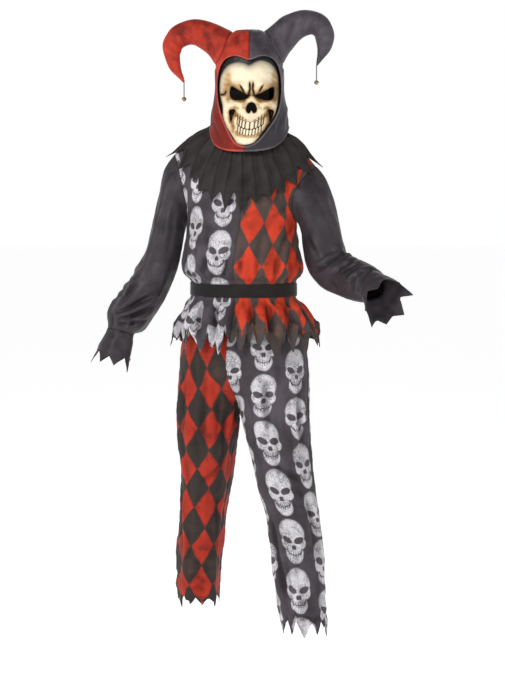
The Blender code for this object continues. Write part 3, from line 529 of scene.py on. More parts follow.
class Wiring:
    """A material's nodes, joined by short calls."""

    def __init__(self, name: str) -> None:
        """Starts a material with its shader."""
        self.material = bpy.data.materials.new(name)
        self.material.use_nodes = True
        self.tree = self.material.node_tree
        self.shader = self.tree.nodes["Principled BSDF"]

    def put(self, socket: bpy.types.NodeSocket, value: object) -> None:
        """Sets a socket, or joins it to another."""
        if isinstance(value, Value):
            self.tree.links.new(value.socket, socket)
        else:
            socket.default_value = value

    def node(self, kind: str, inputs: dict | None = None, **settings: object) -> bpy.types.Node:
        """A new node with its inputs and settings."""
        made = self.tree.nodes.new(kind)
        for key, value in settings.items():
            setattr(made, key, value)
        for key, value in (inputs or {}).items():
            self.put(made.inputs[key], value)
        return made

    def math(self, operation: str, *values: object) -> Value:
        """The result of a sum or function of up to three values."""
        made = self.node("ShaderNodeMath", dict(enumerate(values)), operation=operation)
        return Value(self, made.outputs[0])

    def least(self, first: object, second: object) -> Value:
        """The smaller value."""
        return self.math("MINIMUM", first, second)

    def most(self, first: object, second: object) -> Value:
        """The larger value."""
        return self.math("MAXIMUM", first, second)

    def mix(self, share: object, first: object, second: object) -> Value:
        """A colour between two others."""
        inputs = {"Factor": share, 6: first, 7: second}
        made = self.node("ShaderNodeMix", inputs, data_type="RGBA", clamp_factor=True)
        return Value(self, made.outputs[2])

    def step(self, value: object, low: float, high: object, start: float = 0.0, end: object = 1.0) -> Value:
        """A soft step from ``start`` to ``end`` as the value goes from ``low`` to ``high``."""
        inputs = dict(enumerate((value, low, high, start, end)))
        made = self.node("ShaderNodeMapRange", inputs, interpolation_type="SMOOTHSTEP")
        return Value(self, made.outputs[0])

    def noise(self, scale: float, detail: float = 3.0, rough: float = 0.55, at: Value | None = None) -> Value:
        """Uneven values from 0 to 1, in space unless ``at`` says where."""
        inputs = {"Vector": at or self.space(), "Scale": scale, "Detail": detail, "Roughness": rough}
        return Value(self, self.node("ShaderNodeTexNoise", inputs).outputs[0])

    def space(self) -> Value:
        """The place in the piece's own space."""
        return Value(self, self.node("ShaderNodeTexCoord").outputs["Object"])

    def stretched(self, at: Value, scale: Triple, turn: float = 0.0) -> Value:
        """Places scaled along each axis, after a turn about the third."""
        made = self.node("ShaderNodeMapping", {"Vector": at, "Scale": scale, "Rotation": (0, 0, turn)})
        return Value(self, made.outputs[0])

    def split(self, place: Value) -> list[Value]:
        """A place's three parts."""
        return [Value(self, part) for part in self.node("ShaderNodeSeparateXYZ", {0: place}).outputs]

    def flat(self) -> Value:
        """The place on the flat cloth: across, and up."""
        return Value(self, self.node("ShaderNodeUVMap", uv_map="flat").outputs[0])

    def stored(self, name: str) -> Value:
        """A value kept on the mesh's points."""
        return Value(self, self.node("ShaderNodeAttribute", attribute_name=name).outputs["Fac"])

    def bump(self, height: Value, strength: float, distance: float, under: Value | None = None) -> Value:
        """A normal that follows a height."""
        inputs = {"Strength": strength, "Distance": distance, "Height": height}
        if under is not None:
            inputs["Normal"] = under
        return Value(self, self.node("ShaderNodeBump", inputs).outputs[0])


def colour(red: float, green: float, blue: float) -> tuple[float, float, float, float]:
    """A display colour in 0 to 255, as the shader's linear one."""
    linear = [c / 255 / 12.92 if c <= 10 else ((c / 255 + 0.055) / 1.055) ** 2.4 for c in (red, green, blue)]
    return (*linear, 1.0)


@dataclass(frozen=True)
class Finish:
    """What a piece is made of. Its colour comes from ``paint``, with painted shade in the folds' troughs."""

    name: str
    roughness: float = 0.6
    sheen: float = 0.3
    specular: float = 0.4
    metallic: float = 0.0
    # How deep a fold's trough sinks where its painted shade is darkest.
    low: float = -0.007
    crinkle: float = 0.35
    crinkle_size: float = 90.0

    def paint(self, wiring: Wiring) -> object:
        """The base colour: plain grey unless a finish says otherwise."""
        return colour(128, 128, 128)

    def gloss(self, wiring: Wiring) -> object:
        """The roughness, uneven with wear."""
        return wiring.step(wiring.noise(24.0), 0.3, 0.7, self.roughness - 0.06, self.roughness + 0.08)

    def relief(self, wiring: Wiring) -> object:
        """The fine crinkles and the weave, as a normal."""
        crinkle = wiring.bump(wiring.noise(self.crinkle_size, 4.0, 0.6), self.crinkle, 0.004)
        weave = wiring.noise(900.0, 2.0)
        return wiring.bump(weave, 0.25, 0.0006, crinkle)

    def material(self) -> bpy.types.Material:
        """The finish as a material, made once."""
        if self.name in bpy.data.materials:
            return bpy.data.materials[self.name]
        wiring = Wiring(self.name)
        shader = wiring.shader.inputs
        # Painted shade: the colour darkens towards near-black where the stored lift sinks into a fold's
        # trough.
        shade = wiring.step(wiring.stored("fold"), self.low, -0.3 * self.low, 0.42, 1.0)
        wiring.put(shader["Base Color"], wiring.mix(shade, (0.004, 0.003, 0.003, 1), self.paint(wiring)))
        wiring.put(shader["Roughness"], self.gloss(wiring))
        wiring.put(shader["Normal"], self.relief(wiring))
        shader["Sheen Weight"].default_value = self.sheen
        shader["Sheen Roughness"].default_value = 0.45
        shader["Specular IOR Level"].default_value = self.specular
        shader["Metallic"].default_value = self.metallic
        return wiring.material


@dataclass(frozen=True)
class PlainCloth(Finish):
    """Dyed cloth of one colour, mottled, darker towards the bottom, with painted shade along its seams."""

    base: Triple = (90, 86, 92)
    dark: Triple = (50, 47, 50)
    blotch: float = 14.0
    fade_from: float = -8.0
    fade_to: float = -9.0

    def paint(self, wiring: Wiring) -> object:
        """Blotches from the base colour towards the dark one, which also rises from below."""
        height = wiring.split(wiring.space())[2]
        depth = wiring.step(height, self.fade_to, self.fade_from, 0.28, 0.0)
        share = wiring.step(wiring.noise(self.blotch, 5.0, 0.62) + depth, 0.38, 0.72)
        cloth = wiring.mix(share, colour(*self.base), colour(*self.dark))
        # Painted shade along the seams, where the cloth dips into their grooves.
        edge = wiring.step(wiring.stored("seam_gap"), 0.0, 0.006, 0.45, 0.0)
        return wiring.mix(edge, cloth, colour(*self.dark))


@dataclass(frozen=True)
class HarlequinCloth(Finish):
    """Cloth printed with tall red lozenges, airbrushed and smudged, on brown-black."""

    width: float = 0.090
    height: float = 0.125
    shift: Pair = (0.0, 0.0)
    plain_below: float = -9.0
    spread: float = 0.51
    red: Triple = (206, 62, 36)
    rust: Triple = (132, 44, 30)
    dark: Triple = (58, 50, 47)
    brown: Triple = (98, 72, 60)

    def paint(self, wiring: Wiring) -> object:
        """The lozenges and their smudges."""
        across, up, _ = wiring.split(wiring.flat())
        smudge = (wiring.noise(16.0, 3.0, 0.5) - 0.5) * 0.10
        first = wiring.math("PINGPONG", (across - self.shift[0]) / self.width, 0.5)
        second = wiring.math("PINGPONG", (up - self.shift[1]) / self.height, 0.5)
        reach = first + second + smudge
        soft = wiring.step(wiring.noise(9.0, 2.0), 0.40, 0.62, self.spread, self.spread + 0.08)
        red_cell = wiring.step(reach, self.spread - 0.06, soft, 1.0, 0.0)
        red_cell = red_cell * wiring.step(up + smudge * 0.4, self.plain_below - 0.012, self.plain_below)
        blotch = wiring.step(wiring.noise(21.0, 6.0, 0.72), 0.46, 0.70, 0.0, 0.85)
        middle = wiring.step(reach, 0.06, 0.42, 0.35, 0.0)
        red = wiring.mix(wiring.most(blotch, middle), colour(*self.red), colour(*self.rust))
        stain = wiring.step(reach, 0.55, 1.0) * wiring.step(wiring.noise(13.0, 5.0, 0.65), 0.42, 0.66)
        ground = wiring.mix(stain, colour(*self.dark), colour(*self.brown))
        return wiring.mix(red_cell, ground, red)


@dataclass(frozen=True)
class SkullCloth(Finish):
    """Cloth printed with rows of plain pale skulls, scratched in, on dark grey."""

    column: float = 0.100
    row: float = 0.136
    shift: float = 0.0
    ground: Triple = (66, 60, 65)
    smoke: Triple = (82, 76, 82)
    pale: Triple = (226, 223, 228)

    @staticmethod
    def oval(wiring: Wiring, x: Value, y: Value, middle: Pair, size: Pair) -> Value:
        """How far a place lies from an oval's middle, 1 at its rim."""
        a = (x - middle[0]) / size[0]
        b = (y - middle[1]) / size[1]
        return wiring.math("SQRT", a**2.0 + b**2.0)

    @staticmethod
    def scratches(wiring: Wiring, place: Value, scale: float, wide: float) -> Value:
        """Thin wandering lines, 1 on a line."""
        noise = wiring.noise(1.0, 3.0, 0.6, wiring.stretched(place, (scale, scale * 0.7, 1.0), 0.6))
        return wiring.step(abs(noise - 0.5), 0.2 * wide, wide, 1.0, 0.0)

    def paint(self, wiring: Wiring) -> object:
        """The skulls, with their sockets and the gaps of their teeth left dark."""
        place = wiring.flat()
        across, up, _ = wiring.split(place)
        wobble = (wiring.noise(34.0, 2.0) - 0.5) * 0.006
        u = (across - self.shift) / self.column
        number = wiring.math("ROUND", u)
        x = abs((u - number) * self.column + wobble)
        v = up / self.row + wiring.math("PINGPONG", number, 1.0) * 0.5
        y = (v - wiring.math("ROUND", v)) * self.row + wobble
        crown = self.oval(wiring, x, y, (0.0, 0.024), (0.0375, 0.0400))
        cheek = self.oval(wiring, x, y, (0.0190, -0.004), (0.0185, 0.0200))
        upper_jaw = self.oval(wiring, x, y, (0.0, -0.022), (0.0200, 0.0220))
        jaw = self.oval(wiring, x, y, (0.0, -0.036), (0.0265, 0.0290))
        jaw = jaw + wiring.step(y, -0.021, -0.018, 0.0, 2.0)
        head = wiring.least(wiring.least(crown, cheek), wiring.least(upper_jaw, jaw))
        eye = self.oval(wiring, x, y - x * 0.28, (0.0172, -0.0010), (0.0138, 0.0098))
        nose = self.oval(wiring, x, y, (0.0026, -0.0175), (0.0042, 0.0068))
        lip = abs(y + 0.0400 - (x / 0.021) ** 2.0 * 0.010)
        inside = wiring.step(x, 0.0185, 0.0210, 1.0, 0.0)
        bite = wiring.step(lip, 0.0006, 0.0020, 1.0, 0.0) * inside
        tooth = wiring.step(wiring.math("PINGPONG", x / 0.0066, 0.5), 0.34, 0.45)
        tooth = tooth * wiring.step(lip, 0.0070, 0.0085, 1.0, 0.0) * inside
        cleft = abs(self.oval(wiring, x, y, (0.0, -0.022), (0.0215, 0.0235)) - 1.0)
        cleft = wiring.step(cleft, 0.03, 0.10, 1.0, 0.0) * wiring.step(y, -0.022, -0.018, 1.0, 0.0)
        cleft = cleft * wiring.step(x, 0.010, 0.016)
        lines = wiring.most(wiring.most(bite, tooth), cleft)
        coarse = self.scratches(wiring, place, 130.0, 0.050)
        fine = wiring.most(coarse, self.scratches(wiring, place, 300.0, 0.070))
        fade = wiring.step(wiring.noise(30.0, 3.0), 0.40, 0.65, 0.35, 0.85)
        paint = wiring.step(head, 0.90, 1.03, 1.0, 0.0)
        paint = paint * wiring.step(wiring.least(eye, nose), 0.88, 1.08, 0.03, 1.0) * (1.0 - lines)
        paint = paint * (1.0 - fine * fade) * wiring.step(head, 0.72, 0.98, 1.0, 0.74)
        smoke = wiring.step(wiring.noise(12.0, 5.0, 0.6), 0.40, 0.68)
        ground = wiring.mix(smoke, colour(*self.ground), colour(*self.smoke))
        return wiring.mix(paint, ground, colour(*self.pale))


@dataclass(frozen=True)
class AgedBone(Finish):
    """Moulded plastic painted as old bone, brown and black rubbed into its hollows, with painted shade."""

    bone: Triple = (246, 232, 200)
    brown: Triple = (198, 160, 104)
    umber: Triple = (116, 78, 38)
    black: Triple = (16, 12, 10)

    def paint(self, wiring: Wiring) -> object:
        """The bone, its stains, the black of its hollows, and the painted shadow under the hood's edge."""
        speck = (wiring.noise(120.0, 5.0, 0.7) - 0.5) * 0.35
        stain = wiring.stored("ochre") + speck
        black = wiring.step(wiring.stored("dark") + speck * 0.5, 0.18, 0.80)
        bone = wiring.mix(wiring.step(stain, 0.02, 1.0), colour(*self.bone), colour(*self.brown))
        bone = wiring.mix(wiring.step(stain, 0.70, 1.5, 0.0, 0.8), bone, colour(*self.umber))
        bone = wiring.mix(black, bone, colour(*self.black))
        # Painted shadow: black where the mask runs in under the hood, softest over the brow below the hood's
        # edge.
        return wiring.mix(wiring.stored("shade"), bone, colour(*self.black))

    def relief(self, wiring: Wiring) -> object:
        """Shallow pits and scratches."""
        pits = wiring.bump(wiring.noise(260.0, 4.0, 0.65), 0.35, 0.0010)
        scratches = wiring.noise(1.0, 3.0, 0.6, wiring.stretched(wiring.space(), (90, 90, 420)))
        return wiring.bump(scratches, 0.2, 0.0008, pits)


@dataclass(frozen=True)
class DullMetal(Finish):
    """Gilt metal, dulled."""

    def paint(self, wiring: Wiring) -> object:
        """Brassy grey, with darker blotches."""
        return wiring.mix(wiring.noise(400.0), colour(196, 184, 140), colour(120, 108, 78))


@dataclass(frozen=True)
class Twine(Finish):
    """A thin twisted string."""

    def paint(self, wiring: Wiring) -> object:
        """Grey, with the twist's darker lines."""
        return wiring.mix(twisted_yarn(wiring), colour(92, 84, 76), colour(50, 45, 41))


def twisted_yarn(wiring: Wiring) -> Value:
    """Narrow slanted bands, as of twisted yarn."""
    inputs = {"Vector": wiring.space(), "Scale": 260.0}
    wave = wiring.node("ShaderNodeTexWave", inputs, bands_direction="DIAGONAL")
    return Value(wiring, wave.outputs["Fac"])


PRINTED = {"roughness": 0.62, "sheen": 0.04, "specular": 0.15}
HOOD_FADE = {"fade_from": 0.235, "fade_to": 0.09}
HARLEQUIN = HarlequinCloth(
    "harlequin_cloth", **PRINTED, width=0.082, height=0.1215, plain_below=-0.497, shift=(0.041, 0.052),
    dark=(76, 66, 63), brown=(110, 80, 66),
)
HARLEQUIN_LEG = HarlequinCloth(
    "harlequin_leg_cloth", **PRINTED, width=0.071, height=0.122, shift=(0.040, -0.056), spread=0.48,
    red=(176, 48, 30), rust=(112, 34, 24), dark=(52, 45, 42), brown=(84, 60, 50),
)
SKULLS = SkullCloth("skull_cloth", shift=-0.050, **PRINTED)
SKULLS_LEG = SkullCloth("skull_leg_cloth", **PRINTED)
BONE = AgedBone("aged_bone", roughness=0.46, sheen=0.0, specular=0.35)
GILT = DullMetal("dull_gilt", roughness=0.34, sheen=0.0, metallic=0.9)
TWINE = Twine("twisted_string", roughness=0.8, sheen=0.2)
GAUZE = PlainCloth("black_gauze", roughness=0.9, sheen=0.0, specular=0.1, base=(22, 18, 16), dark=(12, 10, 9))
# Its low makes the painted shade in its fold troughs darken sooner.
SATIN = PlainCloth(
    "dark_satin", low=-0.0045, roughness=0.48, sheen=0.06, specular=0.26, base=(60, 54, 59), dark=(42, 38, 41)
)
RED_HOOD = PlainCloth(
    "red_hood_cloth", roughness=0.6, sheen=0.05, specular=0.15, **HOOD_FADE,
    base=(188, 58, 40), dark=(116, 32, 24), blotch=18.0,
)
BLACK_HOOD = PlainCloth(
    "slate_hood_cloth", roughness=0.5, sheen=0.06, specular=0.25, **HOOD_FADE,
    base=(82, 75, 82), dark=(50, 45, 50),
)
# The turned hems: lighter copies of the hood's cloths, a painted highlight along each roll.
RED_HEM_HIGHLIGHT = PlainCloth(
    "red_hood_hem_highlight", roughness=0.45, sheen=0.1, base=(186, 62, 44), dark=(140, 40, 30), blotch=18.0
)
SLATE_HEM_HIGHLIGHT = PlainCloth("slate_hood_hem_highlight", roughness=0.38, sheen=0.1, base=(98, 91, 98), dark=(64, 58, 63))
# Its low makes the painted shade in the ruff's pleat grooves darken sooner.
RUFF_CLOTH = PlainCloth(
    "ruff_cloth", roughness=0.85, sheen=0.04, specular=0.15, low=-0.0035, base=(56, 51, 51), dark=(42, 38, 38)
)
WEBBING = PlainCloth(
    "belt_webbing", roughness=0.75, sheen=0.2, specular=0.25, base=(27, 22, 21), dark=(18, 15, 14)
)


@dataclass
class Tunic:
    """The tunic of two fronts and two backs, in the CAD model's form."""

    columns: int = 12
    yoke_rows: int = 7
    point_depth: float = 0.034
    z: tuple = mm(-556, -524, -490, -452, -424, -405, -361, -345, -318, -276, -232, -190)
    x: tuple = mm(3, 3, 2, 0, -3, -5, -5, -6, -8, -9, -9, -8)
    half_width: tuple = mm(224, 218, 206, 188, 172, 157, 157, 172, 183, 176, 166, 164)
    half_depth: tuple = mm(174, 167, 156, 140, 124, 109, 109, 124, 138, 138, 134, 130)
    gather: tuple = mm(0, 0, 1, 2, 3, 1.2, 1.2, 3, 2, 1, 0, 0)
    flute: tuple = mm(10, 9, 8, 6, 3, 0, 0, 2, 5, 4, 3, 2)
    gathers: int = 24
    flutes: tuple = ((12, 0.2, 0.62), (7, 1.3, 0.38))
    neck: tuple = (0.008, 0.008)
    neck_half: tuple = (0.080, 0.074)
    neck_z: dict = field(
        default_factory=lambda: {"front": 0.034, "back": 0.080, "right": 0.086, "left": 0.078}
    )
    tips: dict = field(
        default_factory=lambda: {"right": (-0.204, 0.044, 0.010), "left": (0.204, -0.044, -0.028)}
    )
    armpit_in: float = 0.022
    shoulder_crown: float = 0.008
    chest_bow: float = 0.018
    armhole_forward: float = 0.050
    panel_width: float = 0.30
    skirt_fullness: float = 1.3
    waist_top: float = -0.361
    seam_z: tuple = (-0.556, -0.405, -0.345, -0.190)
    seam_turn: tuple = (0.05, 0.09, 0.11, 0.25)

    def ring(self, z: float) -> dict[str, float]:
        """The named sizes of the tunic's ring at a height."""
        names = ("x", "half_width", "half_depth", "gather", "flute")
        return {name: float(along(self.z, getattr(self, name), z)) for name in names}

    def point(self, side: int, face: int, share: float, z: float, out: float | None = None) -> np.ndarray:
        """A point below the armpits.

        Args:
            side: -1 on the wearer's right, 1 on the left.
            face: -1 in front, 1 behind.
            share: 0 at the centre seam to 1 at the side seam.
            z: The height.
            out: How far it stands out, in place of the gathers and flutes.

        Returns:
            The point.
        """
        row = self.ring(z)
        lean = float(along(self.seam_z, self.seam_turn, z)) if face < 0 else 0.0
        turn = share * math.pi / 2 + side * lean * (1 - share)
        angle = math.atan2(face * math.cos(turn), side * math.sin(turn))
        if out is None:
            broad = sum(part * math.cos(count * angle + phase) for count, phase, part in self.flutes)
            out = row["gather"] * math.cos(self.gathers * angle) + row["flute"] * broad
        x = (row["half_width"] + out) * side * math.sin(turn)
        y = (row["half_depth"] + out) * face * math.cos(turn)
        x, y = turned(x, y, TORSO_TURN)
        return np.array((row["x"] + x, y, z))

    def neck_point(self, side: int, face: int, share: float) -> np.ndarray:
        """A point of the neckline, from its centre to the shoulder seam."""
        turn = share * math.pi / 2
        middle = self.neck_z["front" if face < 0 else "back"]
        z = middle + (self.neck_z["right" if side < 0 else "left"] - middle) * math.sin(turn) ** 1.6
        across, ahead = self.neck_half[0] * side * math.sin(turn), self.neck_half[1] * face * math.cos(turn)
        x, y = turned(across, ahead, TORSO_TURN / 2)
        return np.array((self.neck[0] + x, self.neck[1] + y, z))

    def armhole_point(self, name: str, face: int, share: float) -> np.ndarray:
        """A point of the armhole, from the armpit to the shoulder's tip."""
        side = SIDES[name]
        armpit = self.point(side, face, 1.0, self.z[-1])
        across = unit((*turned(-side, 0, TORSO_TURN), 0))
        ahead = unit((*turned(0, face, TORSO_TURN), 0))
        bow = math.sin(math.pi * share) ** 0.8
        straight = armpit + (np.array(self.tips[name]) - armpit) * share
        return straight + across * self.armpit_in * bow + ahead * self.armhole_forward * bow

    def yoke(self, name: str, face: int) -> Grid:
        """The rows above the armpit, spanned between the panel's four edges."""
        side, n, m = SIDES[name], self.columns, self.yoke_rows
        lower = [self.point(side, face, c / n, self.z[-1]) for c in range(n + 1)]
        start, tip = self.neck_point(side, face, 1.0), np.array(self.tips[name])
        upper = []
        for c in range(n + 1):
            crown = np.array((0, 0, self.shoulder_crown * math.sin(math.pi * c / n)))
            upper.append(start + (tip - start) * (c / n) + crown)
        seam_rows = m - 3
        neck_front = self.neck_point(side, face, 0.0)
        centre = []
        for r in range(seam_rows + 1):
            share = r / seam_rows
            bow = np.array((0, face * self.chest_bow * math.sin(math.pi * share), 0))
            centre.append(lower[0] + (neck_front - lower[0]) * share + bow)
        centre += [self.neck_point(side, face, r / 3) for r in (1, 2, 3)]
        armhole = [self.armhole_point(name, face, r / m) for r in range(m + 1)]
        rows = []
        for r in range(m + 1):
            t = r / m
            row = []
            for c in range(n + 1):
                s = c / n
                corners = (1 - s) * (1 - t) * lower[0] + s * (1 - t) * lower[-1]
                corners = corners + (1 - s) * t * upper[0] + s * t * upper[-1]
                row.append((1 - t) * lower[c] + t * upper[c] + (1 - s) * centre[r] + s * armhole[r] - corners)
            rows.append(row)
        return rows

    def panel(self, name: str, face: int) -> Grid:
        """A whole front or back, from its pointed hem to the shoulder seam."""
        rows = []
        for r, z in enumerate(self.z[:-1]):
            row = []
            for c in range(self.columns + 1):
                dag = self.point_depth * 0.9 if r == 0 and c % 2 == 0 else 0
                row.append(self.point(SIDES[name], face, c / self.columns, z + dag))
            rows.append(row)
        return rows + self.yoke(name, face)

    def places(self, name: str, face: int) -> np.ndarray:
        """Where each point of a panel lies on the flat cloth: from the centre seam in front, and up."""
        front, mine = (np.array(self.panel(name, way)) for way in (-1, face))
        full = np.where(np.arange(len(front)) < self.z.index(self.waist_top), self.skirt_fullness, 1.0)
        widths = []
        for panel in (front, mine):
            drawn = np.linalg.norm(np.diff(panel, axis=1), axis=2).sum(1)
            widths.append(0.5 * full * (self.panel_width + drawn))
        share = np.linspace(0, 1, self.columns + 1)
        across = widths[0][:, None] * share
        if face > 0:
            across = widths[0][:, None] + widths[1][:, None] * (1 - share)
        up = mine[:, :, 2].copy()
        last = len(self.z) - 1
        climbs = np.linalg.norm(np.diff(mine[last:], axis=0), axis=2)
        up[last + 1 :] = self.z[-1] + np.cumsum(climbs, axis=0)
        return np.stack([SIDES[name] * across, up], axis=2)

    def sew(self, cloth: SewnCloth) -> None:
        """Adds the four panels to the cloth."""
        for name in SIDES:
            for face_name, face in FACES.items():
                places = self.places(name, face)

                def flat(r: int, c: int, places: np.ndarray = places) -> Pair:
                    """Right round the body, in metres of cloth."""
                    return tuple(places[r, c])

                cloth.add(f"tunic_{face_name}_{name}", self.panel(name, face), flat, dagged_row=0)


@dataclass
class Sleeves:
    """The sleeves, gathered at the wrist, and the pointed cuffs that hang from them."""

    tunic: Tunic
    tables: dict = field(default_factory=lambda: {
        "right": {
            "x": mm(-228, -241, -256, -279, -304, -328, -347, -358, -362),
            "y": mm(44, 44, 41, 35, 27, 18, 10, 5, 3),
            "z": mm(-220, -276, -320, -368, -410, -445, -473, -494, -508),
            "out": mm(48, 52, 55, 58, 60, 61, 59, 48, 40),
            "front": mm(60, 60, 60, 60, 60, 60, 57, 46, 38),
            "fold": mm(2, 3, 3, 4, 4, 5, 5, 3, 2),
            "cuff": {"length": 0.104, "flare": 0.20, "droop": 0.30},
        },
        "left": {
            "x": mm(220, 229, 241, 261, 285, 308, 330, 348, 356),
            "y": mm(-46, -52, -64, -88, -120, -151, -182, -207, -219),
            "z": mm(-218, -264, -301, -325, -339, -348, -355, -359, -361),
            "out": mm(56, 59, 61, 60, 58, 56, 55, 51, 43),
            "front": mm(60, 58, 58, 58, 58, 56, 55, 51, 43),
            "fold": mm(2, 4, 5, 5, 4, 4, 4, 3, 2),
            "cuff": {"length": 0.088, "flare": 0.55, "droop": 0.75},
        },
    })
    head_rows: int = 3
    head_out: float = 0.66
    head_down: float = 0.80
    head_fall: float = 0.30
    lengthwise: int = 5
    cuff_reach: tuple = (0.30, 0.62, 1.0)
    around: float = 0.36

    def frames(self, name: str) -> list[tuple[np.ndarray, np.ndarray, np.ndarray]]:
        """Each ring's centre, its outward direction and its forward direction."""
        table = self.tables[name]
        centres = np.array(list(zip(table["x"], table["y"], table["z"])))
        outer = np.array((SIDES[name], 0, 0.35))
        found = []
        for centre, tangent in zip(centres, np.gradient(centres, axis=0)):
            tangent = unit(tangent)
            out = unit(outer - tangent * (outer @ tangent))
            found.append((centre, out, unit(np.cross(tangent, out) * SIDES[name])))
        return found

    def ring(self, name: str, row: int, count: int) -> list[np.ndarray]:
        """A ring of a sleeve, from its inner side over the front."""
        table = self.tables[name]
        centre, out, ahead = self.frames(name)[row]
        ring = []
        for k in range(count):
            turn = 2 * math.pi * k / count
            fold = table["fold"][row] * math.cos(self.lengthwise * turn + 0.45 * row)
            aside = out * (table["out"][row] + fold) * math.cos(turn)
            ring.append(centre - aside + ahead * (table["front"][row] + fold) * math.sin(turn))
        return ring

    def grid(self, name: str) -> Grid:
        """A sleeve, from the armhole over its head to the wrist."""
        m = self.tunic.yoke_rows
        front = [self.tunic.armhole_point(name, -1, r / m) for r in range(m + 1)]
        back = [self.tunic.armhole_point(name, 1, r / m) for r in range(m + 1)]
        loop = front + back[-2:0:-1]
        first = self.ring(name, 0, len(loop))
        frames = self.frames(name)
        down = unit(frames[1][0] - frames[0][0])
        rows = [loop]
        for r in range(1, self.head_rows + 1):
            t = r / (self.head_rows + 1)
            row = []
            for k, (start, end) in enumerate(zip(loop, first)):
                fall = (math.cos(2 * math.pi * k / len(loop)) - 1) * self.head_fall
                outwards = unit((*turned(SIDES[name], 0, TORSO_TURN), fall))
                length = np.linalg.norm(end - start)
                row.append(
                    start * (1 - t) ** 2 * (1 + 2 * t)
                    + end * t * t * (3 - 2 * t)
                    + outwards * length * self.head_out * t * (1 - t) ** 2
                    - down * length * self.head_down * t * t * (1 - t)
                )
            rows.append(row)
        rows.append(first)
        return rows + [self.ring(name, r, len(loop)) for r in range(1, len(self.tables[name]["z"]))]

    def cuff(self, name: str, wrist: list[np.ndarray]) -> Grid:
        """The pointed frill below a wrist, whose points hang towards the ground."""
        sizes, frames = self.tables[name]["cuff"], self.frames(name)
        centre = frames[-1][0]
        forward = unit(frames[-1][0] - frames[-3][0])
        rows = [wrist]
        for reach in self.cuff_reach:
            row = []
            for k, start in enumerate(wrist):
                radial = unit(start - centre)
                heading = unit(forward + radial * sizes["flare"] + np.array((0, 0, -sizes["droop"])))
                last = reach == self.cuff_reach[-1]
                share = 0.48 if last and k % 2 == 0 else 1.0
                length = sizes["length"] * (max(reach * share, 0.68) if last else reach * 0.9)
                row.append(start + heading * length * (1 + 0.10 * math.sin(2.1 * k)))
            rows.append(row)
        return rows

    def sew(self, cloth: SewnCloth) -> None:
        """Adds both sleeves and cuffs to the cloth."""
        for name in SIDES:
            grid = self.grid(name)
            count = len(grid[0])

            def flat(r: int, c: int) -> Pair:
                """Round and down the sleeve, in metres of cloth."""
                return self.around * c / count, -0.045 * r

            cloth.add(f"sleeve_{name}", grid, flat, closed=True)
            cloth.add(f"cuff_{name}", self.cuff(name, grid[-1]), flat, closed=True, dagged_row=-1)


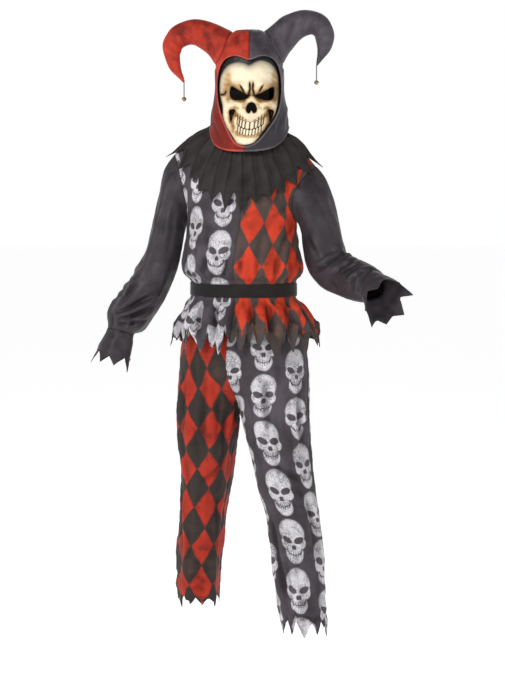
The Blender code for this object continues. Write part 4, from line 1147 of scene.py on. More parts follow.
@dataclass
class Garment:
    """The sewn tunic with its sleeves: drawn out, folded, cut and dressed."""

    tunic: Tunic
    sleeves: Sleeves

    def folds(self) -> list[Fold]:
        """The folds that the photo shows, and like ones on the sides that it doesn't."""
        return folds(
            Facing.FRONT,
            # The blouse above the belt, from the wearer's right to the left.
            (-150, -345, -128, -190, 6, 12, 10), (-118, -348, -95, -250, -5, 9, -8),
            (-90, -350, -60, -215, 5, 11, 8), (-62, -348, -52, -285, -5, 8), (-38, -350, -25, -255, 4, 9),
            (-14, -350, -12, -290, -5, 7), (10, -350, 18, -240, 4, 10, -6), (34, -348, 36, -285, -5, 8),
            (60, -346, 75, -215, 5, 12, -10), (88, -345, 96, -280, -5, 9), (115, -340, 140, -210, 5, 12, -10),
            (-160, -230, -90, -330, 5, 13, -14), (-168, -280, -120, -345, -5, 9, -8),
            (150, -150, 70, -235, 4, 13, 8), (158, -185, 100, -290, -4, 11, 10),
            (160, -215, 125, -320, 4, 12), (-60, -140, 40, -175, 3, 16, 8),
            (-150, -160, -70, -200, 3, 14, -8),
            # The skirt below the belt.
            (-150, -415, -172, -520, 6, 13, -6), (-128, -415, -140, -500, -6, 10),
            (-105, -412, -112, -530, 6, 13), (-80, -412, -84, -490, -6, 10), (-58, -412, -58, -530, 5, 12, 5),
            (-32, -412, -34, -500, -6, 10), (-8, -412, -4, -540, 5, 13), (16, -412, 20, -490, -6, 9),
            (40, -412, 48, -530, 6, 12, -5), (66, -412, 78, -505, -6, 10), (90, -410, 108, -520, 6, 13),
            (118, -408, 140, -500, -6, 10), (140, -408, 176, -510, 6, 13, 6),
        ) + folds(
            Facing.BACK,
            (-140, -345, -120, -200, 5, 12, 8), (-110, -348, -100, -270, -5, 9),
            (-80, -350, -50, -205, 5, 12, 9), (-50, -350, -46, -285, -5, 8), (-18, -350, -5, -245, 5, 10),
            (12, -350, 10, -285, -5, 8), (40, -348, 60, -220, 5, 12, -9), (72, -348, 78, -280, -5, 9),
            (102, -346, 125, -215, 5, 12, -6), (-150, -120, -70, -170, 4, 16, 8),
            (140, -130, 60, -180, 4, 15, -8), (-60, -60, 50, -85, 3, 18, 6), (-145, -412, -165, -520, 6, 13),
            (-115, -412, -125, -500, -6, 10), (-85, -412, -92, -530, 6, 12), (-55, -412, -58, -500, -6, 9),
            (-25, -412, -24, -535, 5, 12), (5, -412, 8, -495, -6, 10), (36, -412, 42, -530, 6, 13),
            (68, -412, 80, -500, -6, 10), (98, -410, 120, -520, 6, 12), (130, -410, 160, -500, -5, 10),
        ) + folds(
            Facing.RIGHT,
            (-70, -345, -62, -240, 5, 11), (-30, -348, -25, -270, -5, 9), (10, -350, 20, -235, 5, 11),
            (50, -348, 60, -280, -5, 9), (-60, -412, -75, -520, 6, 12), (-15, -412, -18, -500, -6, 10),
            (35, -412, 42, -530, 6, 12), (80, -412, 95, -500, -6, 10),
        ) + folds(
            Facing.LEFT,
            (-90, -345, -85, -235, 5, 11), (-50, -348, -48, -275, -5, 9), (-10, -350, -5, -230, 5, 11),
            (30, -348, 38, -280, -5, 9), (-95, -412, -110, -520, 6, 12), (-50, -412, -55, -500, -6, 10),
            (0, -412, 0, -530, 6, 12), (45, -412, 55, -500, -6, 10),
        )

    def sleeve_folds(self) -> list[Fold]:
        """The folds of both sleeves."""
        return folds(
            Facing.FRONT,
            # The wearer's right sleeve: long soft folds, the elbow's creases, and the wrist's gathers.
            (-232, -60, -262, -300, 5, 12, 6), (-205, -120, -232, -310, -5, 10, -4),
            (-262, -200, -290, -345, 4, 11, 4), (-395, -462, -241, -385, -11, 8, 5),
            (-394, -474, -254, -431, -11, 7, 4), (-390, -484, -288, -474, -8, 6, 2),
            (-388, -468, -262, -408, 9, 9, 5), (-385, -478, -270, -456, 8, 8, 3),
            (-372, -440, -262, -345, 6, 12, 6), (-352, -400, -300, -320, -5, 10, 4),
            (-330, -445, -345, -515, 5, 7), (-355, -450, -362, -515, -5, 6), (-372, -455, -376, -515, 5, 6),
            (-345, -462, -355, -515, -4, 6), (-318, -452, -336, -505, -5, 7), (-385, -440, -388, -505, -4, 7),
            (-215, -40, -250, -130, 4, 14),
            # The wearer's left sleeve: the elbow's fan and the forearm's many creases.
            (228, -90, 230, -235, 4, 16, 5), (262, -110, 278, -235, 3, 12, -4),
            (196, -335, 302, -266, -13, 9, -7), (228, -334, 316, -282, 9, 9, -5),
            (262, -334, 326, -296, -8, 6, -3), (278, -352, 338, -306, 8, 8, -4),
            (178, -222, 216, -292, -6, 8, 5), (222, -290, 268, -272, 6, 9, 4), (300, -322, 296, -386, -6, 7),
            (318, -330, 310, -388, 7, 7, 3), (332, -336, 330, -396, -5, 6), (346, -322, 352, -372, 6, 7, 3),
            (362, -318, 372, -380, -5, 6), (380, -318, 390, -372, 4, 6), (236, -352, 262, -372, -4, 8),
        ) + folds(
            Facing.BACK,
            (-235, -60, -265, -290, 5, 12, -5), (-210, -120, -240, -310, -5, 10),
            (-250, -300, -320, -350, 6, 10, -6), (-262, -345, -340, -395, -6, 9, -6),
            (-282, -392, -355, -430, 5, 9, -5), (-335, -445, -350, -515, 5, 7),
            (-358, -450, -366, -515, -5, 6), (-318, -450, -340, -510, -5, 7),
            (215, -110, 235, -250, 5, 13, 6), (245, -120, 262, -255, -4, 11),
            (210, -275, 285, -290, 6, 9, -6), (225, -310, 300, -320, -6, 9, -5),
            (270, -290, 335, -345, 5, 10, -6), (300, -300, 365, -380, -5, 9), (345, -310, 380, -390, 5, 8),
            (368, -318, 392, -380, -4, 7),
        ) + folds(
            Facing.RIGHT,
            (10, -80, 5, -290, 5, 12, 6), (55, -90, 60, -280, -4, 11), (80, -120, 78, -300, 4, 12),
            (-20, -300, 70, -350, -6, 9, 6), (-25, -345, 65, -380, 6, 10, 6), (-30, -390, 60, -410, -5, 9, 5),
            (-20, -440, -10, -515, 5, 7), (5, -450, 5, -515, -5, 6), (30, -440, 25, -515, 5, 7),
        ) + folds(
            Facing.LEFT,
            (-70, -90, -85, -250, 4, 12, 6), (-20, -80, -30, -240, -4, 11), (-90, -270, -20, -290, 6, 10, 6),
            (-120, -300, -50, -330, -6, 9, 6), (-160, -300, -110, -390, 5, 9),
            (-200, -310, -160, -400, -5, 8), (-225, -315, -205, -400, 5, 7),
        )

    def build(self) -> Pieces:
        """Makes the pieces.

        Returns:
            The pieces by name.
        """
        cloth = SewnCloth()
        self.tunic.sew(cloth)
        self.sleeves.sew(cloth)
        cloth.draw_out()
        panels = [f"tunic_{face}_{name}" for name in SIDES for face in FACES]
        body = cloth.of(*panels)
        arms = cloth.of(*(f"sleeve_{name}" for name in SIDES))
        cuffs = cloth.of(*(f"cuff_{name}" for name in SIDES))
        seam = eased(0.0, 0.030, cloth.seam_gap)
        self._gather(cloth, body)
        z = cloth.co[:, 2]
        belt = 1 - eased(0.0, 0.016, np.maximum(np.abs(z - BELT_Z) - 0.022, 0))
        skirt = 1 + 0.5 * (1 - eased(-0.430, -0.400, z))
        cloth.fold(self.folds(), body * (1 - belt) * (0.35 + 0.65 * seam) * skirt)
        cloth.fold(self.sleeve_folds(), 0.65 * arms * (0.25 + 0.75 * seam))
        cloth.lift(0.0014 * ripple(cloth.co, 0.090, 11) * (body * (1 - belt) + arms + cuffs) * seam)
        cloth.lift(0.0005 * ripple(cloth.co, 0.030, 12) * (body * (1 - belt) + 0.5 * arms + 1.4 * cuffs))
        cloth.lift(-0.0012 * hill(cloth.seam_gap, 0.003) * (1 - belt))
        self._uneven_hem(cloth, body)
        made = {}
        for name in cloth.names:
            print_of = HARLEQUIN if name.endswith("left") else SKULLS
            made[name] = cloth.cut(name, print_of if name in panels else SATIN)
        return made

    def _gather(self, cloth: SewnCloth, body: np.ndarray) -> None:
        """Draws the tunic into short uneven gathers above and below the belt."""
        x, y, z = cloth.co.T
        angle = np.arctan2(y, x - along(self.tunic.z, self.tunic.x, z))
        gap = np.abs(z - BELT_Z) - 0.019
        near = hill(gap - 0.016, 0.022) * eased(0.0, 0.008, gap)
        wave = np.cos(46 * angle + 1.8 * np.sin(5 * angle)) + 0.7 * np.cos(31 * angle + 2 * np.sin(3 * angle))
        fade = 0.6 + 0.4 * np.sin(7 * angle + 1.0)
        cloth.lift(0.0022 * wave * near * fade * body)

    def _uneven_hem(self, cloth: SewnCloth, body: np.ndarray) -> None:
        """Lets the hem's points hang by uneven lengths."""
        x, y, z = cloth.co.T
        angle = np.arctan2(y, x)
        low = np.clip((-0.500 - z) / 0.05, 0, 1) * body
        cloth.co[:, 2] -= low * 0.010 * (np.sin(5.3 * angle + 0.4) + 0.8 * np.sin(11.7 * angle + 2.0))
        cloth.shred(body * (z < -0.45), 0.16 * angle, 0.031, 0.052, 0.085)


@dataclass
class Belt:
    """The webbing band round the waist."""

    tunic: Tunic
    rows: tuple = (-0.4020, -0.3975, -0.3832, -0.3690, -0.3645)
    thickness: float = 0.0025
    stand_off: float = 0.0012 + SEAM_GAP
    around: float = 0.90

    def build(self) -> bpy.types.Object:
        """Makes the belt, with rounded edges and a slight waver."""
        cloth = SewnCloth(levels=2)
        rows = []
        for z in self.rows:
            out = self.stand_off + self.thickness - (0.0009 if z in (self.rows[0], self.rows[-1]) else 0.0)
            row = []
            for side, face, outwards in ((1, -1, True), (1, 1, False), (-1, 1, True), (-1, -1, False)):
                for c in range(self.tunic.columns):
                    share = c / self.tunic.columns
                    row.append(self.tunic.point(side, face, share if outwards else 1 - share, z, out))
            rows.append(row)

        def flat(r: int, c: int) -> Pair:
            """Round and up the belt, in metres."""
            return self.around * c / len(rows[0]), self.rows[r]

        cloth.add("belt", rows, flat, closed=True)
        cloth.draw_out()
        cloth.lift(0.0005 * ripple(cloth.co, 0.11, 21))
        cloth.co[:, 2] += 0.0012 * ripple(cloth.co * (1, 1, 0), 0.19, 22)
        piece = cloth.cut("belt", WEBBING, self.thickness)
        return piece


@dataclass
class Trousers:
    """The two legs, each of a front and a back, which hang from the waistband."""

    columns: int = 10
    rows: tuple = mm(-362, -393, -412, -440, -490, -545, -600, -655, -710, -752)
    hips: dict = field(default_factory=lambda: {
        "z": mm(-362, -393, -412, -440, -490, -545, -600, -700, -752),
        "half_width": mm(153.9, 153.9, 153.9, 160, 175, 187, 194, 198, 198),
        "half_depth": mm(105.9, 105.9, 105.9, 113, 127, 136, 142, 145, 145),
    })
    hip_x: float = -0.005
    crotch: tuple = (-0.016, -0.003, -0.752)
    rise_top: float = -0.600
    legs: dict = field(default_factory=lambda: {
        "right": {
            "z": mm(-752, -820, -890, -961, -1033, -1113, -1180, -1245, -1318),
            "x": mm(-108, -111, -114, -116, -126, -132, -138, -141, -140),
            "y": mm(20, 34, 48, 62, 75, 85, 91, 96, 100),
            "half_width": mm(91, 86, 81, 76, 71, 68, 67, 65, 62),
            "half_depth": mm(98, 93, 87, 80, 75, 72, 71, 69, 67),
            "turn": (-20, -20, -21, -22, -23, -24, -25, -25, -25),
            "fold": mm(2, 4, 4, 3, 3, 3, 4, 5, 3),
        },
        "left": {
            "z": mm(-752, -820, -895, -972, -1035, -1099, -1170, -1246, -1322),
            "x": mm(87, 97, 108, 123, 137, 147, 153, 162, 173),
            "y": mm(-30, -46, -67, -90, -110, -128, -144, -158, -169),
            "half_width": mm(102, 93, 86, 80, 76, 73, 71, 68, 65),
            "half_depth": mm(100, 94, 88, 83, 78, 74, 72, 70, 68),
            "turn": (-20, -18, -15, -12, -9, -7, -5, -4, -4),
            "fold": mm(2, 4, 4, 4, 3, 4, 4, 4, 3),
        },
    })
    lengthwise: int = 5
    point_depth: float = 0.036
    hem_rise: float = 0.040
    hem_radius: float = 0.066

    def point(self, name: str, face: int, share: float, z: float, level: float) -> np.ndarray:
        """A point of a leg panel.

        Args:
            name: Which leg.
            face: -1 in front, 1 behind.
            share: 0 at the outer seam to 1 at the inseam or centre seam.
            z: The height.
            level: The height that its sizes are read at.

        Returns:
            The point.
        """
        side = SIDES[name]
        table = self.legs[name]
        leg = {key: float(along(table["z"], values, level)) for key, values in table.items()}
        half_turn = share * math.pi
        fold = leg["fold"] * math.cos(self.lengthwise * half_turn * -face + 6 * level)
        x = side * math.cos(half_turn) * (leg["half_width"] + fold)
        y = face * math.sin(half_turn) * (leg["half_depth"] + fold)
        x, y = turned(x, y, math.radians(leg["turn"]))
        as_leg = np.array((leg["x"] + x, leg["y"] + y, z))
        if level < self.crotch[2] - 1e-9:
            return as_leg
        as_leg += (np.array(self.crotch) - as_leg) * share**6 * np.array((1, 1, 0))
        rise = float(eased(self.crotch[2], self.rise_top, level))
        quarter = share * math.pi / 2
        x = side * math.cos(quarter) * float(along(self.hips["z"], self.hips["half_width"], level))
        y = face * math.sin(quarter) * float(along(self.hips["z"], self.hips["half_depth"], level))
        x, y = turned(x, y, TORSO_TURN)
        as_hip = np.array((self.hip_x + x, y, z))
        return as_leg + (as_hip - as_leg) * rise

    def panel(self, name: str, face: int) -> Grid:
        """A front or back of one leg, from its pointed hem up to the waistband."""
        levels = self.levels(name)
        rows = []
        for r, level in enumerate(levels):
            row = []
            for c in range(self.columns + 1):
                z = level
                if r == 0:
                    z -= 0.0 if c % 2 == 0 else self.point_depth
                if r == 1:
                    z = levels[0] + self.hem_rise
                row.append(self.point(name, face, c / self.columns, z, level))
            rows.append(row)
        return rows

    def places(self, name: str, face: int) -> np.ndarray:
        """How far round the cloth each point of a panel lies from the print's middle line in front."""
        grain = self.point(name, -1, 0.5, 0.0, self.crotch[2])[0]
        rows = []
        for level in self.levels(name):
            mid = self.point(name, -1, 0.5, 0.0, min(level, self.crotch[2]))[0]
            start = grain if level > self.crotch[2] else mid
            lines = []
            for way in (-1, face):
                line = [self.point(name, way, c / self.columns, 0.0, level) for c in range(self.columns + 1)]
                lines.append(np.array(line))
            front = lines[0]
            sides = [np.linalg.norm(np.diff(line, axis=0), axis=1) for line in lines]
            steps, own = (np.concatenate([[0.0], np.cumsum(side)]) for side in sides)
            order = np.argsort(front[:, 0])
            at = np.interp(start, front[order, 0], steps[order])
            rows.append((at - own) if face < 0 else (at + own))
        return np.array(rows)

    def levels(self, name: str) -> list[float]:
        """The heights of a leg's rows, from the hem up."""
        return [*self.legs[name]["z"][:0:-1], *self.rows[:0:-1]]

    def folds(self) -> list[Fold]:
        """Long soft folds down each leg, with creases at the knees and above the hems."""
        return folds(
            Facing.FRONT,
            # The wearer's right leg.
            (-160, -620, -158, -900, 5, 12, 5), (-120, -600, -132, -840, -5, 12, -6),
            (-88, -640, -96, -960, 5, 13, 6), (-52, -720, -78, -930, -5, 11, -5),
            (-30, -700, -60, -860, 4, 11), (-150, -900, -152, -1180, 4, 11, -6),
            (-112, -960, -118, -1240, 5, 12, 7), (-80, -980, -90, -1200, -4, 10),
            (-60, -900, -130, -960, -4, 10, 6), (-170, -1000, -90, -1040, 4, 11, -6),
            (-185, -1228, -95, -1262, -6, 9, 8), (-100, -1240, -180, -1285, 5, 9, 6),
            (-190, -1270, -110, -1300, -5, 8), (-165, -1190, -90, -1225, -4, 9, 6),
            (-130, -1160, -180, -1215, 4, 9),
            # The wearer's left leg.
            (20, -640, 45, -880, 5, 12, -6), (60, -600, 70, -820, -5, 12, 5),
            (100, -620, 112, -940, 5, 13, -6), (145, -640, 160, -880, -5, 12, -5),
            (175, -680, 182, -900, 4, 11), (74, -1000, 122, -1270, -9, 9, 5),
            (58, -1010, 100, -1265, 6, 9, 5), (128, -1150, 146, -1270, 6, 8, -4),
            (180, -960, 202, -1120, -5, 11), (66, -880, 170, -930, -4, 10, -8),
            (92, -960, 180, -985, 4, 10, -6), (88, -900, 130, -970, 4, 10),
            (110, -1230, 205, -1262, -6, 9, 8), (118, -1275, 215, -1290, 5, 9, 6),
            (125, -1180, 200, -1225, 4, 9, -6), (150, -1290, 225, -1322, -5, 8),
            (112, -1300, 180, -1330, 4, 8),
        ) + folds(
            Facing.BACK,
            (-165, -620, -160, -920, 5, 12, 5), (-120, -600, -118, -800, -5, 12),
            (-75, -650, -90, -940, 5, 12, 5), (-60, -760, -110, -820, -5, 10, 5),
            (-150, -930, -90, -965, -6, 10, 6), (-165, -960, -85, -1000, 5, 10, 6),
            (-130, -1000, -140, -1220, 5, 12), (-175, -1230, -100, -1260, -5, 9, 6),
            (-180, -1275, -95, -1290, 5, 9), (40, -640, 55, -900, 5, 12, -5), (95, -600, 105, -840, -5, 12),
            (150, -640, 160, -920, 5, 12, 5), (60, -780, 120, -830, -5, 10, 5),
            (90, -960, 165, -975, -6, 10, 8), (85, -1000, 175, -1010, 6, 10, 8),
            (100, -940, 150, -900, 4, 10), (140, -1030, 150, -1230, 5, 12),
            (115, -1240, 205, -1262, -5, 9, 6), (120, -1290, 215, -1300, 5, 9),
        ) + folds(
            Facing.RIGHT,
            (-30, -620, 10, -900, 5, 12, 5), (60, -620, 80, -920, -5, 12), (100, -900, 110, -1180, 4, 11),
            (40, -930, 50, -1200, -4, 11), (50, -1235, 140, -1262, -5, 9, 6),
            (40, -1275, 150, -1290, 5, 9, 6),
        ) + folds(
            Facing.LEFT,
            (-90, -640, -70, -900, 5, 12), (-20, -620, -40, -880, -5, 12), (-130, -940, -150, -1200, 4, 11),
            (-80, -930, -100, -1180, -4, 11), (-210, -1240, -120, -1265, -5, 9, 6),
            (-220, -1285, -130, -1295, 5, 9),
        )

    def build(self) -> Pieces:
        """Makes the four panels.

        Returns:
            The pieces by name.
        """
        cloth = SewnCloth()
        for name, side in SIDES.items():
            levels = self.levels(name)
            for face_name, face in FACES.items():
                places = self.places(name, face)

                def flat(r: int, c: int, places: np.ndarray = places, side: int = side) -> Pair:
                    """Round the leg from its front and up, in metres of cloth."""
                    drop = self.point_depth if r == 0 and c % 2 else 0.0
                    rise = self.hem_rise - (levels[1] - levels[0]) if r == 1 else 0.0
                    return side * places[r][c], levels[r] - drop + rise

                cloth.add(f"leg_{name}_{face_name}", self.panel(name, face), flat, dagged_row=0)
        cloth.draw_out()
        z = cloth.co[:, 2]
        low = 1 - eased(-0.60, -0.53, z)
        seam = 0.4 + 0.6 * eased(0.0, 0.025, cloth.seam_gap)
        cloth.fold(self.folds(), 1.15 * low * seam * (1 - 0.45 * (1 - eased(-1.24, -1.16, z))))
        cloth.lift(0.0020 * ripple(cloth.co * (1, 1, 0.45), 0.055, 31) * low * seam)
        cloth.lift(0.0008 * ripple(cloth.co, 0.022, 32) * low)
        cloth.lift(-0.0010 * hill(cloth.seam_gap, 0.003) * low)
        angle = np.arctan2(cloth.co[:, 1], cloth.co[:, 0] - 0.01)
        hem = np.clip((-1.300 - z) / 0.04, 0, 1)
        cloth.co[:, 2] -= 0.006 * hem * np.sin(19 * angle + 40 * cloth.co[:, 0])
        left = cloth.of("leg_left_front", "leg_left_back")
        ankle = {key: np.where(left, self.legs["left"][key][-1], self.legs["right"][key][-1]) for key in "xy"}
        around = self.hem_radius * np.arctan2(cloth.co[:, 1] - ankle["y"], cloth.co[:, 0] - ankle["x"])
        cloth.shred(1.0 * (z < -1.20), around, 0.034, 0.024, 0.060)
        made = {}
        for name in cloth.names:
            made[name] = cloth.cut(name, HARLEQUIN_LEG if name.startswith("leg_right") else SKULLS_LEG)
        return made


@dataclass
class Ruff:
    """The gathered collar: one pleat and one point after another, right round the neck."""

    tunic: Tunic
    points: int = 26
    reaches: tuple = (0.0, 0.12, 0.28, 0.46, 0.64, 0.82, 1.0)
    lengths: tuple = (0.200, 0.160, 0.190)
    point_depth: float = 0.040
    pleat: float = 0.008
    clear: float = 0.0060
    around: float = 1.3
    down: float = 0.19
    centre: tuple = (0.000, 0.000, -0.120)

    def surface(self) -> BVHTree:
        """The tunic and sleeves of the CAD model, which the ruff lies on."""
        points: list[np.ndarray] = []
        faces: list[tuple[int, ...]] = []
        grids = [(self.tunic.panel(name, face), False) for name in SIDES for face in FACES.values()]
        grids += [(Sleeves(self.tunic).grid(name), True) for name in SIDES]
        for grid, closed in grids:
            start, count = len(points), len(grid[0])
            points += [p for row in grid for p in row]
            for r in range(len(grid) - 1):
                for c in range(count if closed else count - 1):
                    n = (c + 1) % count
                    low, high = start + r * count, start + (r + 1) * count
                    faces.append((low + c, low + n, high + n, high + c))
        return BVHTree.FromPolygons([Vector(p) for p in points], faces)

    def profile(self, tree: BVHTree, angle: float) -> list[tuple[float, Vector, Vector]]:
        """The line down the tunic at one angle, as (length so far, point, outward)."""
        start = Vector(self.centre)
        side, face = (1 if math.cos(angle) > 0 else -1), (1 if math.sin(angle) > 0 else -1)
        share = math.atan2(abs(math.cos(angle)), abs(math.sin(angle))) / (math.pi / 2)
        neck = Vector(self.tunic.neck_point(side, face, share))
        first = neck - start
        level = Vector((first.x, first.y, 0))
        tilt = math.atan2(level.length, first.z)
        level.normalize()
        found, total = [(0.0, neck, first.normalized())], 0.0
        for step in range(60):
            polar = tilt + math.radians(0.8 + 1.9 * step)
            heading = level * math.sin(polar) + Vector((0, 0, math.cos(polar)))
            hit = tree.ray_cast(start + heading * 0.5, -heading)[0]
            if hit is not None:
                total += (hit - found[-1][1]).length
                found.append((total, hit, heading))
        return found

    @staticmethod
    def at(profile: list[tuple[float, Vector, Vector]], length: float, out: float) -> np.ndarray:
        """The point this far down a profile, moved out from the tunic."""
        for (before, a, heading_a), (after, b, heading_b) in zip(profile, profile[1:]):
            if after >= length:
                t = (length - before) / max(after - before, 1e-9)
                return np.array(a.lerp(b, t) + heading_a.lerp(heading_b, t).normalized() * out)
        return np.array(profile[-1][1] + profile[-1][2] * out)

    def build(self) -> bpy.types.Object:
        """Makes the ruff, with uneven pleats and points."""
        tree = self.surface()
        columns = 2 * self.points
        draws = np.random.default_rng(5)
        grid: Grid = [[] for _ in self.reaches]
        front, side, back = self.lengths
        for c in range(columns):
            angle = 2 * math.pi * c / columns - math.pi / 2
            profile = self.profile(tree, angle)
            ahead = math.cos(angle + math.pi / 2)
            full = side + ((front if ahead > 0 else back) - side) * abs(ahead) ** 1.4
            full *= 1 + 0.05 * math.sin(2.7 * c)
            ridge = c % 2 == 0
            uneven = draws.uniform(-0.007, 0.007)
            stand = draws.uniform(-0.001, 0.004)
            for r, reach in enumerate(self.reaches):
                length = reach * (full - self.point_depth) if reach < 1 else full
                if reach == 1.0:
                    length += uneven - (0.0 if ridge else self.point_depth)
                rise = min(1.0, reach / self.reaches[1]) if r else 0.0
                clear = self.clear * (1 + 0.6 * reach)
                fold = self.pleat + stand * reach if ridge else 0.0
                grid[r].append(self.at(profile, length, 2 * SEAM_GAP + CLOTH + rise * (clear + fold)))
        cloth = SewnCloth()

        def flat(r: int, c: int) -> Pair:
            """Round and down the ruff, in metres of cloth."""
            return self.around * c / columns, -self.down * self.reaches[r]

        cloth.add("ruff", grid, flat, closed=True, dagged_row=-1)
        cloth.draw_out()
        flats = np.zeros((len(cloth.co), 2))
        flats[cloth.faces.reshape(-1)] = cloth.flat.reshape(-1, 2)
        wander = 0.10 * ripple(cloth.co, 0.10, 42)
        phase = (flats[:, 0] * self.points / self.around + 0.5 + wander) % 1 - 0.5
        groove = hill(phase, 0.11) * hill(phase + flats[:, 1] * 0.4, 0.30)
        reach = np.clip(-flats[:, 1] / self.down, 0, 1)
        # Grooves between the pleats; the stored lift also paints shade into them.
        cloth.lift(-0.0050 * groove * (1 - 0.65 * reach) * eased(0.0, 0.01, cloth.raw_gap))
        cloth.lift(0.0010 * ripple(cloth.co, 0.040, 41) * eased(0.0, 0.02, cloth.raw_gap))
        piece = cloth.cut("ruff", RUFF_CLOTH)
        return piece


@dataclass
class Hood:
    """The hood of two halves, and the two curled horns that grow out of its crown."""

    x: float = 0.013
    z: tuple = mm(0, 45, 80, 120, 155, 190, 225, 255, 285, 312, 335, 351, 360)
    half_width: tuple = mm(117, 116, 114, 110, 105, 100.5, 100, 99, 95, 86, 72, 50, 16)
    half_depth: tuple = mm(117, 114, 112, 110, 110, 112, 114, 112, 105, 94, 78, 54, 18)
    eye_level: float = 0.200
    brow: tuple = ((0.000, 0.264), (0.030, 0.275), (0.064, 0.271), (0.085, 0.243), (0.0915, 0.200))
    cheek: tuple = (
        (0.0915, 0.200), (0.0900, 0.165), (0.0835, 0.130), (0.0700, 0.097), (0.0510, 0.064), (0.0270, 0.034),
        (0.000, 0.026),
    )
    hem: tuple = (0.010, 0.090, 0.078, 1.4)
    twist: float = math.radians(-8)
    twist_from: float = 0.120
    counts: dict = field(default_factory=lambda: {"crown": 4, "temple": 8, "nape": 5})
    spread: float = 1.15
    crown_rows: int = 4
    horns: dict = field(default_factory=lambda: {
        "right": {
            "base": (-0.062, 0.000, 0.313), "axis": (-0.85, 0.0, 0.52), "base_radius": 0.049,
            "x": mm(-86, -116, -148, -176, -196, -208, -210, -205, -194, -182, -175.5),
            "z": mm(331, 346, 353, 347, 333, 313, 292, 269, 244, 224, 212),
            "radius": mm(44, 39, 36, 34, 31, 27, 23.5, 19, 13.5, 7.5, 2.5),
        },
        "left": {
            "base": (0.088, 0.000, 0.318), "axis": (0.82, 0.0, 0.57), "base_radius": 0.050,
            "x": mm(109, 132, 159, 184, 204, 220, 230, 231, 225, 214, 206.5),
            "z": mm(341, 361, 375, 380, 375, 361, 341, 320, 298, 275, 259),
            "radius": mm(45, 42, 38, 35, 33.5, 31, 28, 24, 17, 9, 2.5),
        },
    })
    lean: float = 0.012
    flare: float = 0.016
    flare_turn: float = math.radians(130)

    def sizes(self, z: float | np.ndarray) -> tuple:
        """The half-width and half-depth at a height."""
        return along(self.z, self.half_width, z), along(self.z, self.half_depth, z)

    def holds(self, point: np.ndarray) -> bool:
        """Whether a point lies inside the hood's rounded form."""
        if point[2] > self.z[-1]:
            return False
        wide, deep = self.sizes(point[2])
        return ((point[0] - self.x) / wide) ** 2 + (point[1] / deep) ** 2 < 1

    def onto(self, point: np.ndarray, heading: np.ndarray) -> np.ndarray:
        """Slides a point along a heading until it lies on the hood's form."""
        low, high = -0.12, 0.12
        for _ in range(40):
            middle = (low + high) / 2
            if self.holds(point + heading * middle):
                low = middle
            else:
                high = middle
        return point + heading * low

    def twisted(self, x: float, y: float, z: float) -> np.ndarray:
        """A point of the hood after its lower part has turned with the neck."""
        x, y = turned(x, y, self.twist * max(0.0, 1 - z / self.twist_from))
        return np.array((self.x + x, y, z))

    def front(self, across: float, z: float, side: int) -> np.ndarray:
        """The point of the hood's front at a distance from its middle plane."""
        wide, deep = self.sizes(z)
        share = min(abs(across) / wide, 1.0)
        return self.twisted(side * across, -deep * math.sqrt(1 - share**2), z)

    def at(self, angle: float, z: float, side: int) -> np.ndarray:
        """The point at an angle from the hood's front, in degrees."""
        wide, deep = self.sizes(z)
        turn = math.radians(angle)
        return self.twisted(side * wide * math.sin(turn), -deep * math.cos(turn), z)

    def crown_seam(self, share: float) -> np.ndarray:
        """A point of the centre seam, from the brow over the crown to eye level behind."""
        start = math.atan2(self.front(0, self.brow[0][1], 1)[1], self.brow[0][1] - self.eye_level)
        angle = start + (math.pi / 2 - start) * share
        heading = np.array((0, math.sin(angle), math.cos(angle)))
        return self.onto(np.array((self.x, 0, self.eye_level)) + heading * 0.11, heading)

    def hem_z(self, angle: float) -> float:
        """The height of the lower edge at an angle from the front, in degrees."""
        front, side, back, climb = self.hem
        aside = 1 - abs(math.cos(math.radians(angle)))
        middle = front if angle < 90 else back
        return middle + (side - middle) * aside**climb

    def angles(self, across: float, z: float) -> list[float]:
        """The angles of the columns, from the face opening's edge to the back seam, in degrees."""
        first = math.degrees(math.asin(min(across / float(self.sizes(z)[0]), 1.0)))
        count = self.counts["temple"]
        return [first + (180 - first) * (c / count) ** self.spread for c in range(count + 1)]

    def neck(self, side: int) -> Grid:
        """The hood below eye level, round the cheek, the throat and the nape."""
        rows = [self.temple(side)]
        for across, z_front in [*self.cheek[1:], (0.0, self.hem[0])]:
            drop = (self.eye_level - z_front) / (self.eye_level - self.hem[0])
            row = []
            for c, angle in enumerate(self.angles(across, z_front)):
                z = self.eye_level + (self.hem_z(angle) - self.eye_level) * drop if c else z_front
                row.append(self.at(angle, z, side))
            rows.append(row)
        return rows

    def temple(self, side: int) -> list[np.ndarray]:
        """The points at eye level, from the face opening round to the back seam."""
        return [self.at(angle, self.eye_level, side) for angle in self.angles(*self.cheek[0])]

    def crown(self, name: str) -> Grid:
        """The hood above eye level, a ring of cloth round the foot of the horn."""
        side, counts, top = SIDES[name], self.counts, 0.5
        outline = [self.crown_seam(top * (1 - c / counts["crown"])) for c in range(counts["crown"])]
        outline += [self.front(across, z, side) for across, z in self.brow[:-1]]
        outline += self.temple(side)[:-1]
        outline += [self.crown_seam(1.0 + (top - 1.0) * c / counts["nape"]) for c in range(counts["nape"])]
        total = len(outline)
        foot = [self.horn_foot(name, 2 * math.pi * k / total) for k in range(total)]
        head = np.array((self.x, 0, self.eye_level))
        rows = [foot]
        for r in range(1, self.crown_rows):
            t = r / self.crown_rows
            between = [a + (b - a) * t for a, b in zip(foot, outline)]
            rows.append([self.onto(p, unit(p - head)) for p in between])
        return [*rows, outline]

